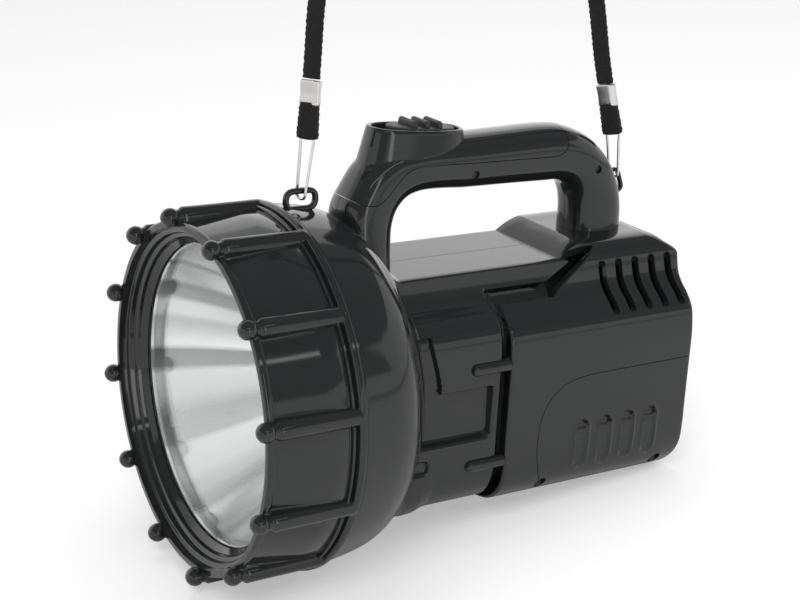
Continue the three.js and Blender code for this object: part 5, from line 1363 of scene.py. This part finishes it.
floor = stage_card("floor", [(-6, -6, 0), (6, -6, 0), (6, 6, 0), (-6, 6, 0)])
paint, paint_shader = new_material("floor_paint", FLOOR_COLOR, 0.9)
floor.data.materials.append(paint)
by_camera = add(paint, "ShaderNodeLightPath").outputs["Is Camera Ray"]
glow = add(paint, "ShaderNodeEmission")
glow_share = add(paint, "ShaderNodeMath", operation="MULTIPLY")
glow_share.inputs[1].default_value = FLOOR_GLOW
glow_mix = add(paint, "ShaderNodeMixShader")
floor_tone = tinted(paint, by_camera, FLOOR_COLOR, FLOOR_SEEN)
wire(paint, (floor_tone, paint_shader.inputs["Base Color"]), (by_camera, glow_share.inputs[0]),
     (glow_share.outputs["Value"], glow_mix.inputs["Fac"]),
     (paint_shader.outputs["BSDF"], glow_mix.inputs[1]),
     (glow.outputs["Emission"], glow_mix.inputs[2]),
     (glow_mix.outputs["Shader"], paint.node_tree.nodes["Material Output"].inputs["Surface"]))

world = bpy.data.worlds.new("studio")
bpy.context.scene.world = world
world.use_nodes = True
background = world.node_tree.nodes["Background"]
background.inputs["Color"].default_value = (1, 1, 1, 1)
rays = add(world, "ShaderNodeLightPath")
seen, seen_all = (add(world, "ShaderNodeMath", operation="MAXIMUM") for _ in range(2))
wire(world, (rays.outputs["Is Camera Ray"], seen.inputs[0]),
     (rays.outputs["Is Glossy Ray"], seen.inputs[1]), (seen.outputs[0], seen_all.inputs[0]),
     (rays.outputs["Is Transmission Ray"], seen_all.inputs[1]),
     (spread(world, seen_all.outputs[0], WORLD_LIGHT, WORLD_SEEN), background.inputs["Strength"]))


def soft_lamp(name, place, aim, size, power, width=None, reflected=False):
    """An area lamp that faces a point above the floor at a height, and may show in the gloss."""
    lamp = bpy.data.lights.new(name, "AREA")
    lamp.shape, lamp.size, lamp.size_y, lamp.energy = "RECTANGLE", width or size, size, power
    away = unit(np.array(place, float) - [0, 0, aim])
    side = unit(np.cross([0, 0, 1], away))
    made = placed(linked(name, lamp), np.stack([side, np.cross(away, side), away], 1), place)
    made.visible_glossy = made.visible_transmission = reflected


def gloss_card(name, corners, level):
    """A card that only the gloss of the object shows: no camera sees it and it casts no shadow."""
    card = stage_card(name, corners)
    paint = bpy.data.materials.new(name)
    paint.use_nodes = True
    glow = add(paint, "ShaderNodeEmission", Color=(1, 1, 1, 1), Strength=level)
    wire(paint, (glow.outputs["Emission"],
                 paint.node_tree.nodes["Material Output"].inputs["Surface"]))
    card.data.materials.append(paint)
    card.visible_camera = card.visible_diffuse = card.visible_shadow = False
    card.visible_transmission = False


def upright(x, y, z):
    """The corners of an upright card, from spans of x and z at one y."""
    return [(x[0], y, z[0]), (x[1], y, z[0]), (x[1], y, z[1]), (x[0], y, z[1])]


soft_lamp("key", (-0.9, -1.1, 1.5), 0.08, 0.9, 16)
soft_lamp("fill", (1.3, -0.9, 1.0), 0.08, 0.8, 6)
soft_lamp("top", (0.1, 0.3, 1.8), 0.08, 1.0, 10)
soft_lamp("strip", (-0.2, -1.35, 1.15), 0.1, 0.07, 1.2, width=1.6, reflected=True)
gloss_card("ceiling_card", [(-2.4, -1.9, 1.3), (2.4, -1.9, 1.3), (2.4, 0.75, 1.3),
                            (-2.4, 0.75, 1.3)], 0.22)
gloss_card("back_card", upright((-3.5, 3.5), 1.9, (-0.1, 1.6)), 1.5)
gloss_card("side_card", upright((-0.46, -0.2), -1.85, (0, 1.25)), 3)
gloss_card("front_card", upright((-2.4, 2.4), -1.9, (0.5, 1.3)), 0.3)
bpy.context.scene.view_settings.view_transform = "Standard"
